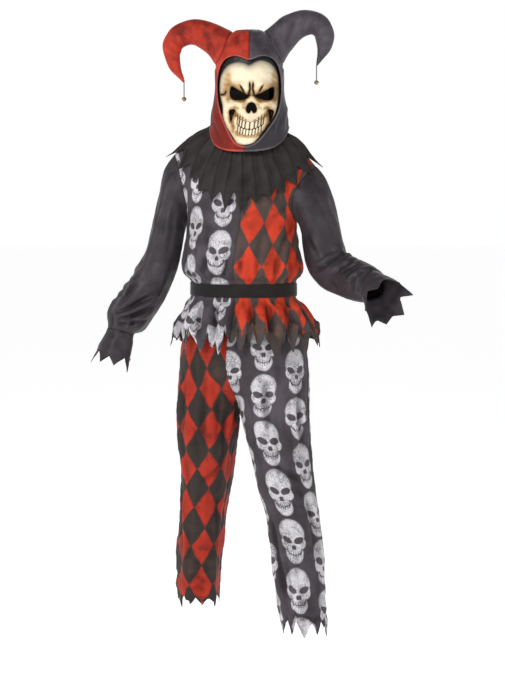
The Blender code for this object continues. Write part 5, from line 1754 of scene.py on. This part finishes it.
    def horn_foot(self, name: str, turn: float) -> np.ndarray:
        """A point of the seam that joins a horn to the hood."""
        sizes = self.horns[name]
        axis = unit(sizes["axis"])
        up = unit(np.array((0, 0, 1)) - axis * axis[2])
        radius = sizes["base_radius"] + self.flare * max(0.0, math.cos(turn - self.flare_turn)) ** 2
        aside = math.cos(turn) * up + math.sin(turn) * np.array((0, -1, 0))
        return self.onto(np.array(sizes["base"]) + radius * aside, axis)

    def horn(self, name: str, foot: list[np.ndarray]) -> Grid:
        """A horn, from its foot along its curl to the closed tip."""
        sizes = self.horns[name]
        centres = np.array([(x, 0.0, z) for x, z in zip(sizes["x"], sizes["z"])])
        centres[:, 1] = np.linspace(0, 1, len(centres)) ** 2 * -self.lean
        tangents = np.gradient(np.vstack([sizes["base"], centres]), axis=0)[1:]
        rows = [foot]
        for centre, tangent, radius in zip(centres, tangents, sizes["radius"]):
            tangent = unit(tangent)
            ahead = unit(np.array((0, -1, 0)) - tangent * -tangent[1])
            up = np.cross(ahead, tangent) * SIDES[name]
            turns = [2 * math.pi * k / len(foot) for k in range(len(foot))]
            rows.append([centre + radius * (math.cos(t) * up + math.sin(t) * ahead) for t in turns])
        tip = centres[-1] + unit(tangents[-1]) * sizes["radius"][-1]
        return [*rows, [tip] * len(foot)]

    def folds(self) -> list[Fold]:
        """Soft creases at the throat, the temples, the nape and the feet of the horns."""
        return folds(
            Facing.FRONT,
            (-98, 120, -60, 40, 3, 9, -8), (-112, 150, -104, 70, -3, 9), (-30, 30, -70, 90, -2, 7, 6),
            (108, 130, 75, 45, 3, 9, 8), (126, 150, 118, 75, -3, 9), (40, 30, 88, 95, -2, 7, -6),
            (-60, 330, -92, 270, -3, 9, 6), (-40, 345, -52, 290, 3, 9), (-20, 350, -22, 300, -2, 8),
            (75, 335, 105, 275, -3, 9, -6), (52, 345, 66, 290, 3, 9), (32, 352, 34, 300, -2, 8),
            (-100, 300, -118, 372, -3, 8), (-130, 312, -150, 384, 3, 9), (-160, 310, -190, 370, -3, 8),
            (-176, 292, -222, 330, 3, 8), (-182, 270, -230, 290, -2, 7), (120, 310, 140, 392, -3, 8),
            (150, 332, 165, 408, 3, 9), (180, 345, 205, 400, -3, 8), (196, 330, 242, 368, 3, 8),
            (206, 305, 254, 325, -2, 7),
        ) + folds(
            Facing.BACK,
            (-90, 140, -60, 95, 3, 9), (-40, 230, -55, 120, -3, 10), (0, 200, 10, 110, -3, 9),
            (50, 230, 60, 120, 3, 10), (95, 150, 80, 100, -3, 9), (-60, 330, -80, 270, -3, 9),
            (70, 335, 95, 275, -3, 9), (-110, 305, -125, 380, 3, 8), (-165, 305, -195, 360, -3, 8),
            (130, 320, 150, 400, 3, 8), (190, 330, 225, 385, -3, 8),
        )

    def build(self) -> Pieces:
        """Makes the hood's halves and its horns.

        Returns:
            The pieces by name.
        """
        cloth = SewnCloth()

        def flat(r: int, c: int) -> Pair:
            """Columns and rows, in metres of cloth."""
            return 0.03 * c, 0.03 * r

        for name, side in SIDES.items():
            crown = self.crown(name)
            cloth.add(f"hood_{name}", crown, flat, closed=True)
            cloth.add(f"hood_{name}", self.neck(side), flat)
            cloth.add(f"horn_{name}", self.horn(name, crown[0]), flat, closed=True)
        cloth.draw_out()
        seam = eased(0.0, 0.012, cloth.seam_gap)
        edge = eased(0.0, 0.020, cloth.raw_gap)
        cloth.fold(self.folds(), seam * (0.3 + 0.7 * edge))
        cloth.lift(0.0012 * ripple(cloth.co, 0.050, 51) * seam * edge)
        cloth.lift(-0.0016 * hill(cloth.seam_gap, 0.0035))
        made = {}
        for name in cloth.names:
            made[name] = cloth.cut(name, RED_HOOD if name.endswith("right") else BLACK_HOOD)
        for name in SIDES:
            self._turned_edge(cloth, made, name)
        return made

    def _turned_edge(self, cloth: SewnCloth, made: Pieces, name: str) -> None:
        """Adds the flat turned hem along a half's raw edges."""
        mine = cloth.of(f"hood_{name}")
        faces = cloth.faces[cloth.owner == cloth.names.index(f"hood_{name}")]
        raw = set(cloth.raw.tolist())
        links = {a: b for a, b in borders(faces) if a in raw and b in raw and mine[a]}
        number = 0
        while links:
            starts = set(links) - set(links.values())
            at = min(starts) if starts else min(links)
            line = [at]
            while at in links:
                at = links.pop(at)
                line.append(at)
            if len(line) > 12:
                number += 1
                self._piping(cloth, made, name, line, number)

    def _piping(self, cloth: SewnCloth, made: Pieces, name: str, line: list[int], number: int) -> None:
        """One soft roll of cloth along a line of the hood's edge."""
        path, normal = cloth.co[line], cloth.normal[line]
        tangent = np.gradient(path, axis=0)
        tangent /= np.linalg.norm(tangent, axis=1)[:, None]
        inward = np.cross(normal, tangent)
        middle = path + inward * 0.0026 + normal * 0.0001
        sides = 10
        rings = []
        for k in range(sides):
            turn = 2 * math.pi * k / sides
            wide = 0.0029 * math.cos(turn)
            rings.append(middle + inward * wide + normal * (0.0016 * math.sin(turn) - 0.0002))
        points = np.stack(rings, axis=1).reshape(-1, 3)
        count = len(line)
        faces = []
        for r in range(count - 1):
            low, high = r * sides, (r + 1) * sides
            for k in range(sides):
                n = (k + 1) % sides
                faces.append((low + k, low + n, high + n, high + k))
        faces += [tuple(range(sides)), tuple(reversed(range((count - 1) * sides, count * sides)))]
        mesh = bpy.data.meshes.new(f"hood_edge_{name}_{number}")
        mesh.from_pydata(points.tolist(), [], faces)
        mesh.shade_smooth()
        # The hem's lighter copy of the cloth is a painted highlight along the roll.
        mesh.materials.append((RED_HEM_HIGHLIGHT if name == "right" else SLATE_HEM_HIGHLIGHT).material())
        gap = mesh.attributes.new("seam_gap", "FLOAT", "POINT")
        gap.data.foreach_set("value", np.full(len(points), 0.05))
        made[mesh.name] = dressed(mesh, f"hood_{name}", replaces=False)


@dataclass
class Bells:
    """A small round bell on a short cord from the tip of each horn."""

    tips: dict[str, np.ndarray]
    radius: float = 0.0065
    cord: float = 0.0028
    length: float = 0.040

    def build(self) -> Pieces:
        """Makes the cords and the bells.

        Returns:
            The pieces by name.
        """
        made = {}
        for name, tip in self.tips.items():
            top = tip[2] - SEAM_GAP
            line = bpy.data.curves.new(f"bell_string_{name}", "CURVE")
            line.dimensions = "3D"
            line.bevel_depth = self.cord / 2
            line.bevel_resolution = 2
            line.use_fill_caps = True
            spline = line.splines.new("POLY")
            count = 24
            spline.points.add(count - 1)
            for k in range(count):
                spline.points[k].co = (tip[0], tip[1], top - self.length * k / (count - 1), 1.0)
            line.materials.append(TWINE.material())
            cord = dressed(line, f"bell_cord_{name}")
            bell = self._bell(name, (tip[0], tip[1], top - self.length - SEAM_GAP - self.radius))
            tuple(tip)
            made[cord.name], made[bell.name] = cord, bell
        return made

    def _bell(self, name: str, middle: Triple) -> bpy.types.Object:
        """A pressed bell with a rim round its middle and a slot below."""
        rounds, steps = 32, 24
        points, faces = [], []
        for r in range(steps + 1):
            turn = math.pi * r / steps
            rim = 0.0009 * math.exp(-(((r - steps / 2) / 1.1) ** 2))
            for k in range(rounds):
                spin = 2 * math.pi * k / rounds
                slot = 0.0022 * math.exp(-((math.sin(spin) * math.sin(turn) / 0.16) ** 2)) * (turn > 2.0)
                out = (self.radius + rim) * math.sin(turn)
                up = (self.radius - slot) * math.cos(turn)
                x, y = middle[0] + out * math.cos(spin), middle[1] + out * math.sin(spin)
                points.append((x, y, middle[2] + up))
        for r in range(steps):
            for k in range(rounds):
                n = (k + 1) % rounds
                faces.append((r * rounds + k, (r + 1) * rounds + k, (r + 1) * rounds + n, r * rounds + n))
        mesh = bpy.data.meshes.new(f"round_bell_{name}")
        mesh.from_pydata(points, [], faces)
        mesh.shade_smooth()
        mesh.materials.append(GILT.material())
        return dressed(mesh, f"bell_{name}")


@dataclass
class Mask:
    """The moulded skull face in the hood's opening, open at the eyes and the nose."""

    hood: Hood
    columns: int = 200
    rows: int = 226
    snap: float = 0.000756
    under_hood: float = 0.0058
    aside: float = 0.006
    eyes_aside: float = 0.0026
    fade: float = 0.010
    thickness: float = 0.002
    outline_z: tuple = (
        0.016, 0.025, 0.031, 0.038, 0.050, 0.064, 0.082, 0.100, 0.116,
        0.131, 0.147, 0.164, 0.182, 0.200, 0.218, 0.243, 0.266, 0.288,
    )
    half_angle: tuple = (10, 17, 21, 25, 30, 36, 43, 51, 57, 61, 65, 70, 73, 75, 76, 73, 61, 42)
    # Broad bumps and hollows, mirrored: across, z, half-width, half-height, push.
    broad: tuple = (
        (0.020, 0.181, 0.014, 0.010, 0.009), (0.044, 0.199, 0.022, 0.010, 0.009),
        (0.040, 0.168, 0.026, 0.016, -0.017), (0.000, 0.160, 0.010, 0.010, 0.008),
        (0.062, 0.143, 0.018, 0.011, 0.010), (0.054, 0.112, 0.010, 0.017, -0.013),
        (0.000, 0.132, 0.013, 0.014, -0.009), (0.000, 0.088, 0.042, 0.026, 0.013),
        (0.000, 0.044, 0.024, 0.016, 0.011), (0.080, 0.205, 0.016, 0.026, -0.005),
    )
    # Narrower forms of the sculpt, mirrored in the same way.
    close: tuple = (
        (0.030, 0.197, 0.020, 0.006, 0.0035), (0.058, 0.196, 0.014, 0.007, 0.0030),
        (0.010, 0.176, 0.006, 0.012, 0.0030), (0.036, 0.144, 0.018, 0.006, 0.0030),
        (0.022, 0.130, 0.007, 0.010, 0.0030), (0.000, 0.222, 0.020, 0.016, 0.0020),
        (0.030, 0.236, 0.016, 0.014, 0.0022), (0.016, 0.046, 0.010, 0.009, 0.0025),
        (0.000, 0.040, 0.004, 0.008, -0.0018), (0.040, 0.078, 0.008, 0.012, 0.0022),
        (0.046, 0.060, 0.010, 0.010, -0.0020),
    )
    # Grooves, mirrored: from, to, depth, half-width, how dark.
    grooves: tuple = (
        ((0.0052, 0.205), (0.0038, 0.184), 0.0030, 0.0026, 1.25),
        ((0.0038, 0.184), (0.0078, 0.168), 0.0030, 0.0026, 1.30),
        ((0.0078, 0.168), (0.0120, 0.163), 0.0026, 0.0024, 1.10),
        ((0.0000, 0.168), (0.0060, 0.166), 0.0014, 0.0014, 0.55),
        ((0.0335, 0.196), (0.0200, 0.175), 0.0030, 0.0025, 1.35),
        ((0.0130, 0.160), (0.0290, 0.148), 0.0018, 0.0016, 0.45),
        ((0.0330, 0.128), (0.0420, 0.1345), 0.0024, 0.0018, 0.50),
        ((0.0420, 0.1345), (0.0530, 0.1330), 0.0024, 0.0018, 0.55),
        ((0.0640, 0.240), (0.0610, 0.212), 0.0014, 0.0026, 0.10),
        ((0.0610, 0.212), (0.0660, 0.192), 0.0014, 0.0026, 0.20),
        ((0.0560, 0.098), (0.0440, 0.062), 0.0020, 0.0018, 0.30),
        ((0.0480, 0.092), (0.0400, 0.066), 0.0012, 0.0014, 0.30),
        ((0.0440, 0.062), (0.0260, 0.050), 0.0014, 0.0026, 0.10),
        ((0.0660, 0.150), (0.0690, 0.166), 0.0012, 0.0020, 0.20),
        ((0.0160, 0.150), (0.0230, 0.136), 0.0012, 0.0022, 0.10),
        ((0.0230, 0.136), (0.0200, 0.124), 0.0012, 0.0022, 0.15),
    )
    # Brown smears, mirrored: across, z, half-width, half-height, how strong.
    smears: tuple = (
        (0.048, 0.080, 0.007, 0.020, 0.42), (0.052, 0.142, 0.016, 0.005, 0.40),
        (0.074, 0.188, 0.009, 0.026, 0.75), (0.060, 0.100, 0.005, 0.018, 0.18),
        (0.030, 0.1500, 0.014, 0.004, 0.55), (0.000, 0.186, 0.007, 0.018, 0.50),
        # The smear of negative strength takes brown off the chin, which faces down: a painted highlight
        # against its shade.
        (0.045, 0.196, 0.022, 0.006, 0.40), (0.000, 0.036, 0.024, 0.012, -0.3),
        (0.072, 0.225, 0.008, 0.016, 0.35), (0.064, 0.158, 0.006, 0.010, 0.35),
        (0.043, 0.112, 0.008, 0.012, 0.50), (0.048, 0.230, 0.010, 0.006, 0.18),
    )
    # A crack at the wearer's right temple, as one line of places.
    crack: tuple = ((-0.088, 0.173), (-0.083, 0.171), (-0.078, 0.172), (-0.074, 0.175), (-0.071, 0.181))
    eye: tuple = (
        (0.012, 0.1650), (0.022, 0.1595), (0.038, 0.1565), (0.051, 0.1575), (0.0580, 0.1640),
        (0.0605, 0.1770), (0.0600, 0.1890), (0.0530, 0.1890), (0.038, 0.1795), (0.024, 0.1705),
    )
    nose: tuple = (
        (0.000, 0.147), (0.009, 0.143), (0.0145, 0.131), (0.0125, 0.121), (0.0065, 0.118), (0.000, 0.127),
    )
    hollow: tuple = (
        (0.046, 0.1275), (0.0625, 0.1265), (0.0615, 0.112), (0.0565, 0.096), (0.0535, 0.096), (0.0515, 0.110),
    )
    bone_edge: tuple = (
        (-0.077, 0.137), (-0.072, 0.094), (-0.052, 0.069), (-0.032, 0.042), (-0.021, 0.031), (-0.003, 0.028),
        (0.018, 0.031), (0.031, 0.043), (0.052, 0.078), (0.069, 0.107), (0.079, 0.133), (0.086, 0.171),
        (0.086, 0.205), (0.081, 0.236), (0.062, 0.260), (0.034, 0.268), (0.012, 0.261), (0.000, 0.254),
        (-0.014, 0.259), (-0.040, 0.262), (-0.066, 0.252), (-0.083, 0.226), (-0.088, 0.196), (-0.085, 0.165),
    )
    # Where one tooth ends and the next begins, from the middle outwards.
    upper_edges: tuple = (0, 0.0130, 0.0225, 0.0305, 0.0375, 0.0440, 0.0500, 0.0560)
    lower_edges: tuple = (0, 0.0090, 0.0175, 0.0255, 0.0330, 0.0395, 0.0455)

    @staticmethod
    def rounded(points: Sequence[Pair], parts: int = 5) -> np.ndarray:
        """A closed outline drawn smoothly through its points."""
        ring = np.array(points)
        found = []
        for k in range(len(ring)):
            a, b, c, d = (ring[(k + j) % len(ring)] for j in (-1, 0, 1, 2))
            for t in np.linspace(0, 1, parts, endpoint=False):
                bend, twist = 2 * a - 5 * b + 4 * c - d, 3 * b - a - 3 * c + d
                found.append(0.5 * (2 * b + (c - a) * t + bend * t**2 + twist * t**3))
        return np.array(found)

    @staticmethod
    def gap(places: np.ndarray, ring: np.ndarray) -> tuple[np.ndarray, np.ndarray]:
        """Distances to a closed outline, below 0 inside it, and the nearest places on it.

        Args:
            places: Places on the face, one a row.
            ring: The outline.

        Returns:
            The distances and the nearest places.
        """
        best = np.full(len(places), 1e9)
        nearest = places.copy()
        inside = np.zeros(len(places), bool)
        for a, b in zip(ring, np.roll(ring, -1, axis=0)):
            step = b - a
            t = np.clip((places - a) @ step / max(step @ step, 1e-12), 0, 1)
            found = a + t[:, None] * step
            length = np.linalg.norm(places - found, axis=1)
            closer = length < best
            best[closer], nearest[closer] = length[closer], found[closer]
            spans = (a[1] > places[:, 1]) != (b[1] > places[:, 1])
            rise = (b[1] - a[1]) or 1e-12
            inside ^= spans & (places[:, 0] < (b[0] - a[0]) * (places[:, 1] - a[1]) / rise + a[0])
        return np.where(inside, -best, best), nearest

    @staticmethod
    def groove(across: np.ndarray, z: np.ndarray, start: tuple, end: tuple, wide: float) -> np.ndarray:
        """How much of a groove from one place to another each place lies in, 0 to 1."""
        a, step = np.array(start), np.array(end) - np.array(start)
        places = np.stack([across, z], axis=1) - a
        t = np.clip(places @ step / (step @ step), 0, 1)
        gap = np.linalg.norm(places - t[:, None] * step, axis=1)
        return np.exp(-((gap / wide) ** 2)) * (0.35 + 0.65 * np.sin(math.pi * np.clip(t, 0.06, 0.94)))

    def opening_half_width(self, z: np.ndarray) -> np.ndarray:
        """Half the width of the hood's face opening at each height."""
        sides = [*self.hood.cheek[::-1], *self.hood.brow[:1:-1]]
        heights = [height for _, height in sides]
        wide = np.interp(z, heights, [across for across, _ in sides])
        return np.where((z > heights[0]) & (z < heights[-1]), wide, 0.0)

    @staticmethod
    def tooth_row(s: np.ndarray, edges: tuple) -> tuple[np.ndarray, np.ndarray]:
        """Where places lie within their tooth, -1 to 1, and how far they are from its side."""
        phase = np.interp(s, edges, np.arange(len(edges)))
        number = np.minimum(phase.astype(int), len(edges) - 2)
        half = np.diff(edges)[number] / 2
        u = 2 * (phase - number) - 1
        return u, (1 - np.abs(u)) * half

    def teeth(self, a: np.ndarray, z: np.ndarray) -> tuple[np.ndarray, np.ndarray, np.ndarray]:
        """The rows of teeth.

        Args:
            a: Distances from the face's middle line.
            z: Heights.

        Returns:
            How far each place stands forward for them, how dark it is, and how brown.
        """
        s = np.abs(a)
        share = (a / 0.033) ** 2
        bite, gum, low = 0.0715 + 0.0120 * share, 0.0915 + 0.0085 * share, 0.0550 + 0.0105 * share
        mouth = 1 - eased(0.036, 0.041, s)
        upper_u, upper_side = self.tooth_row(s, self.upper_edges)
        lower_u, lower_side = self.tooth_row(s, self.lower_edges)
        arch = gum - 0.0015 + 0.0035 * (1 - upper_u**2)
        foot = low + 0.0015 - 0.0035 * (1 - lower_u**2)
        tip, top = bite + 0.0036 * upper_u**4, bite - 0.0030 * lower_u**4
        upper = eased(tip, tip + 0.0015, z) * (1 - eased(arch - 0.001, arch + 0.001, z)) * mouth
        lower = eased(foot - 0.001, foot + 0.001, z) * (1 - eased(top - 0.0015, top, z)) * mouth
        reach = gum + 0.008 + 0.016 * eased(0.010, 0.030, s)
        roots = eased(gum, gum + 0.003, z) * (1 - eased(gum + 0.006, reach, z)) * (1 - eased(0.046, 0.050, s))
        bones = eased(low - 0.014, low - 0.006, z) * (1 - eased(low - 0.002, low, z)) * mouth
        push = 0.0034 * (1 - upper_u**4) * upper + 0.0030 * (1 - lower_u**4) * lower
        push += 0.0022 * (1 - upper_u**2) * roots + 0.0014 * (1 - lower_u**2) * bones
        line = eased(top - 0.0014, top, z) * (1 - eased(tip, tip + 0.0014, z)) * mouth
        dark = 0.75 * hill(upper_side, 0.0022) * upper
        dark += 0.7 * hill(lower_side, 0.0020) * lower
        dark += 0.62 * hill(upper_side, 0.0017) * roots * eased(0.008, 0.012, s)
        dark += 0.45 * hill(lower_side, 0.0015) * bones
        dark += 0.85 * line + 0.70 * hill(z - arch, 0.0013) * mouth
        dark += 0.65 * hill(z - foot, 0.0012) * mouth
        ochre = 0.9 * hill(upper_side, 0.0030) * roots * eased(0.006, 0.014, s) + 0.35 * roots
        ochre += 0.55 * hill(upper_side, 0.0034) * upper + 0.7 * bones
        ochre += 0.45 * lower * eased(0.000, 0.030, s) + 0.4 * upper * eased(0.020, 0.036, s)
        return push - 0.0032 * line - 0.0012 * dark, dark, ochre

    def build(self) -> bpy.types.Object:
        """Sculpts the mask, cuts its holes and paints it."""
        z = np.repeat(np.linspace(self.outline_z[0], self.outline_z[-1], self.rows + 1), self.columns + 1)
        share = np.tile(np.linspace(-1, 1, self.columns + 1), self.rows + 1)
        angle = np.radians(along(self.outline_z, self.half_angle, z) * np.abs(share))
        wide, deep = self.hood.sizes(z)
        side = np.where(share < 0, -1.0, 1.0)
        across = side * (wide - self.under_hood) * np.sin(angle)
        places = np.stack([across - self.aside, z], axis=1)
        eyes = [self.rounded([(s * x + self.eyes_aside, h) for x, h in self.eye][::s]) for s in (-1, 1)]
        nose = self.rounded([*self.nose, *[(-x, h) for x, h in self.nose[-2:0:-1]]])
        gaps = [self.gap(places, ring) for ring in (*eyes, nose)]
        places = self._onto_rims(places, gaps)
        across = places[:, 0] + self.aside
        z = places[:, 1]
        wide, deep = self.hood.sizes(z)
        sine = np.clip(across / (wide - self.under_hood), -1, 1)
        x, y = across, -(deep - self.under_hood) * np.sqrt(1 - sine**2)
        turn = self.hood.twist * np.maximum(0.0, 1 - z / self.hood.twist_from)
        x, y = x * np.cos(turn) - y * np.sin(turn), x * np.sin(turn) + y * np.cos(turn)
        push, dark, ochre, shade = self._sculpt(places, np.minimum(gaps[0][0], gaps[1][0]), gaps[2][0])
        inside = np.clip((self.opening_half_width(z) - np.abs(across)) / self.fade, 0, 1)
        points = np.stack([self.hood.x + x, y - push * inside, z], axis=1)
        cloth = self._surface(points, places, (*eyes, nose))
        cloth.extra = {"dark": dark, "ochre": ochre, "shade": shade}
        return cloth.cut("mask", BONE, self.thickness)

    def _onto_rims(self, places: np.ndarray, gaps: list[tuple[np.ndarray, np.ndarray]]) -> np.ndarray:
        """Moves the places next to a hole's outline onto it, so that the hole has a clean edge."""
        for distance, nearest in gaps:
            close = np.abs(distance) < self.snap
            places = np.where(close[:, None], nearest, places)
        return places

    def _surface(self, points: np.ndarray, places: np.ndarray, holes: Sequence[np.ndarray]) -> SewnCloth:
        """The sculpted surface without its holes."""
        n = self.columns + 1
        r, c = np.divmod(np.arange(self.rows * self.columns), self.columns)
        first = r * n + c
        faces = np.stack([first, first + 1, first + n + 1, first + n], axis=1)
        middle = places[faces].mean(axis=1)
        keep = np.ones(len(faces), bool)
        for ring in holes:
            keep &= self.gap(middle, ring)[0] > -0.0001
        faces = faces[keep]
        mesh = bpy.data.meshes.new("mask_surface")
        mesh.from_pydata(points.tolist(), [], faces.tolist())
        layer = mesh.uv_layers.new(name="flat")
        layer.data.foreach_set("uv", places[faces].reshape(-1))
        cloth = SewnCloth()
        cloth.names = ["mask"]
        cloth.mesh = mesh
        cloth.measure()
        return cloth

    def _sculpt(
        self, places: np.ndarray, eye_gap: np.ndarray, nose_gap: np.ndarray
    ) -> tuple[np.ndarray, ...]:
        """The face's forms and its paint.

        Args:
            places: Distance from the middle line, and height.
            eye_gap: Distances from the eye holes.
            nose_gap: Distances from the nose hole.

        Returns:
            How far each place stands forward, how black it is, how brown, and how deep in shade.
        """
        a, z = places.T
        s = np.abs(a)
        push, dark, ochre = np.zeros(len(a)), np.zeros(len(a)), np.zeros(len(a))
        for x, height, half_width, half_height, out in (*self.broad, *self.close):
            for centre in {x, -x}:
                push += out * np.exp(-(((a - centre) / half_width) ** 2) - ((z - height) / half_height) ** 2)
        # Brown in the broad hollows, by how deep they lie: the mask's own brown wash, and painted shade of
        # its forms.
        ochre += 0.40 * np.clip(-push / 0.010, 0, 1)
        for start, end, depth, wide, black in self.grooves:
            found = self.groove(s, z, start, end, wide)
            push -= depth * found
            dark += 0.85 * black * self.groove(s, z, start, end, 1.3 * wide)
            ochre += 0.62 * self.groove(s, z, start, end, 3.0 * wide)
        for start, end in zip(self.crack, self.crack[1:]):
            found = self.groove(a, z, start, end, 0.0021)
            push -= 0.0022 * found
            dark += 1.3 * found
            ochre += 0.6 * self.groove(a, z, start, end, 0.006)
        rim, hole = np.maximum(eye_gap, 0), np.maximum(nose_gap, 0)
        push += 0.0026 * hill(rim - 0.0075, 0.0035) - 0.0050 * hill(rim, 0.0035, 1.4)
        push += 0.0016 * hill(hole - 0.0045, 0.0022)
        push -= 0.0030 * hill(hole, 0.0022, 1.4)
        dark += hill(rim, 0.0018, 1.5) + 0.30 * hill(rim, 0.0050, 1.5)
        dark += hill(hole, 0.0010, 1.5) + 0.20 * hill(hole, 0.003, 1.5)
        ochre += 0.85 * hill(rim, 0.0095) + 0.4 * hill(hole, 0.005)
        tooth_push, tooth_dark, tooth_ochre = self.teeth(a, z)
        push, dark, ochre = push + tooth_push, dark + tooth_dark, ochre + tooth_ochre
        for sign in (-1, 1):
            ring = self.rounded([(sign * x, height) for x, height in self.hollow])
            deep = self.gap(np.stack([a, z], axis=1), ring)[0]
            dark += 1.1 * (1 - eased(-0.0008, 0.0012, deep))
            push -= 0.0045 * (1 - eased(-0.0050, 0.0015, deep))
            ochre += 0.75 * np.exp(-((np.maximum(deep, 0) / 0.0065) ** 2))
        for x, height, half_width, half_height, strong in self.smears:
            ochre += strong * np.exp(-(((s - x) / half_width) ** 2) - ((z - height) / half_height) ** 2)
        # Painted shade at the mask's rim: black outside the bone's outline, where the mask runs in under the
        # hood, fading inwards; narrow at the jaw, and over the brow a soft painted shadow of the hood's edge.
        edge = -self.gap(np.stack([a + self.aside, z], axis=1), self.rounded(self.bone_edge, 4))[0]
        deep_in = np.maximum(edge - 0.0025 * eased(0.10, 0.18, z), 0)
        shade = np.exp(-deep_in / (0.0012 + 0.0042 * eased(0.10, 0.20, z) + 0.0055 * eased(0.22, 0.25, z)))
        ochre += 0.30 * np.exp(-np.maximum(edge, 0) / 0.007) * (1 - eased(0.18, 0.24, z))
        points = np.stack([a, z, z * 0], axis=1)
        push += 0.0004 * ripple(points, 0.012, 61)
        ochre += 0.07 * ripple(points, 0.030, 62) + 0.07 * ripple(points, 0.011, 63)
        return push, np.clip(dark, 0, 1), np.clip(ochre, 0, 1.6), shade


@dataclass
class Studio:
    """The camera at the photo's angle, soft light, and a pale floor."""

    camera_at: tuple = (0.022, -4.2, -0.130)
    camera_aim: tuple = (0.022, 0.0, -0.5626)
    lens: float = 74.1
    floor_z: float = -1.50
    wall_fades: tuple = (0.33, 0.50)
    overhead: float = 0.12

    def build(self) -> None:
        """Makes the camera, the lights and the floor."""
        camera = placed("camera", bpy.data.cameras.new("camera"))
        camera.data.lens = self.lens
        camera.data.sensor_width = 36.0
        camera.location = self.camera_at
        heading = Vector(self.camera_aim) - Vector(self.camera_at)
        camera.rotation_euler = heading.to_track_quat("-Z", "Y").to_euler()
        bpy.context.scene.camera = camera
        self._floor()
        self._light("key", (-1.5, -2.6, 1.5), 1.3, 60.0)
        self._light("fill", (2.2, -2.4, 0.6), 1.8, 6.0)
        self._light("rim", (0.6, 2.2, 1.6), 1.4, 9.0)
        self._room()
        bpy.context.scene.view_settings.view_transform = "Standard"

    def _light(self, name: str, place: Triple, size: float, power: float) -> None:
        """A soft square light that looks at the costume."""
        data = bpy.data.lights.new(name, "AREA")
        data.size, data.energy = size, power
        light = placed(name, data)
        light.location = place
        light.rotation_euler = (Vector((0, 0, -0.5)) - Vector(place)).to_track_quat("-Z", "Y").to_euler()

    def _room(self) -> None:
        """Pale walls all round, and less light from overhead."""
        world = bpy.data.worlds.new("room")
        bpy.context.scene.world = world
        world.use_nodes = True
        nodes, links = world.node_tree.nodes, world.node_tree.links
        split = nodes.new("ShaderNodeSeparateXYZ")
        fade = nodes.new("ShaderNodeMapRange")
        links.new(nodes.new("ShaderNodeTexCoord").outputs["Generated"], split.inputs[0])
        links.new(split.outputs[2], fade.inputs[0])
        for socket, value in zip(fade.inputs[1:5], (*self.wall_fades, 1.0, self.overhead)):
            socket.default_value = value
        links.new(fade.outputs[0], nodes["Background"].inputs["Strength"])
        nodes["Background"].inputs["Color"].default_value = (1.0, 1.0, 1.0, 1.0)

    def _floor(self) -> None:
        """A wide plain pale floor."""
        half = 40.0
        corners = [(x * half, y * half, self.floor_z) for x, y in ((-1, -1), (1, -1), (1, 1), (-1, 1))]
        mesh = bpy.data.meshes.new("floor")
        mesh.from_pydata(corners, [], [(0, 1, 2, 3)])
        floor = placed("floor", mesh)
        wiring = Wiring("pale_paper")
        mottled = wiring.mix(wiring.noise(3.0), (0.94, 0.94, 0.94, 1), (0.97, 0.97, 0.97, 1))
        wiring.put(wiring.shader.inputs["Base Color"], mottled)
        wiring.shader.inputs["Roughness"].default_value = 0.9
        wiring.shader.inputs["Emission Color"].default_value = (1.0, 1.0, 1.0, 1.0)
        wiring.shader.inputs["Emission Strength"].default_value = 0.70
        mesh.materials.append(wiring.material)


def dress_plain_nodes() -> None:
    """Gives the CAD nodes that stay as they are their finishes."""
    for name, finish in (("waistband", WEBBING), ("eye_gauze", GAUZE)):
        node = frame["nodes"][name]
        node.data.materials.clear()
        node.data.materials.append(finish.material())


def main() -> None:
    """Builds the scene, one sub-assembly after another."""
    Studio().build()
    hood = Hood()
    tips = {name: hood.horn(name, [np.zeros(3)])[-1][0] for name in SIDES}
    made = Bells(tips).build()
    tunic = Tunic()
    made.update(Garment(tunic, Sleeves(tunic)).build())
    made["belt"] = Belt(tunic).build()
    made.update(Trousers().build())
    made["ruff"] = Ruff(tunic).build()
    made.update(hood.build())
    made["mask"] = Mask(hood).build()
    dress_plain_nodes()
    for name, piece in made.items():
        log.info("%s: %d points", name, len(getattr(piece.data, "vertices", [])))


if __name__ == "__main__":
    logging.basicConfig(level=logging.INFO, format="%(name)s: %(message)s")
    main()
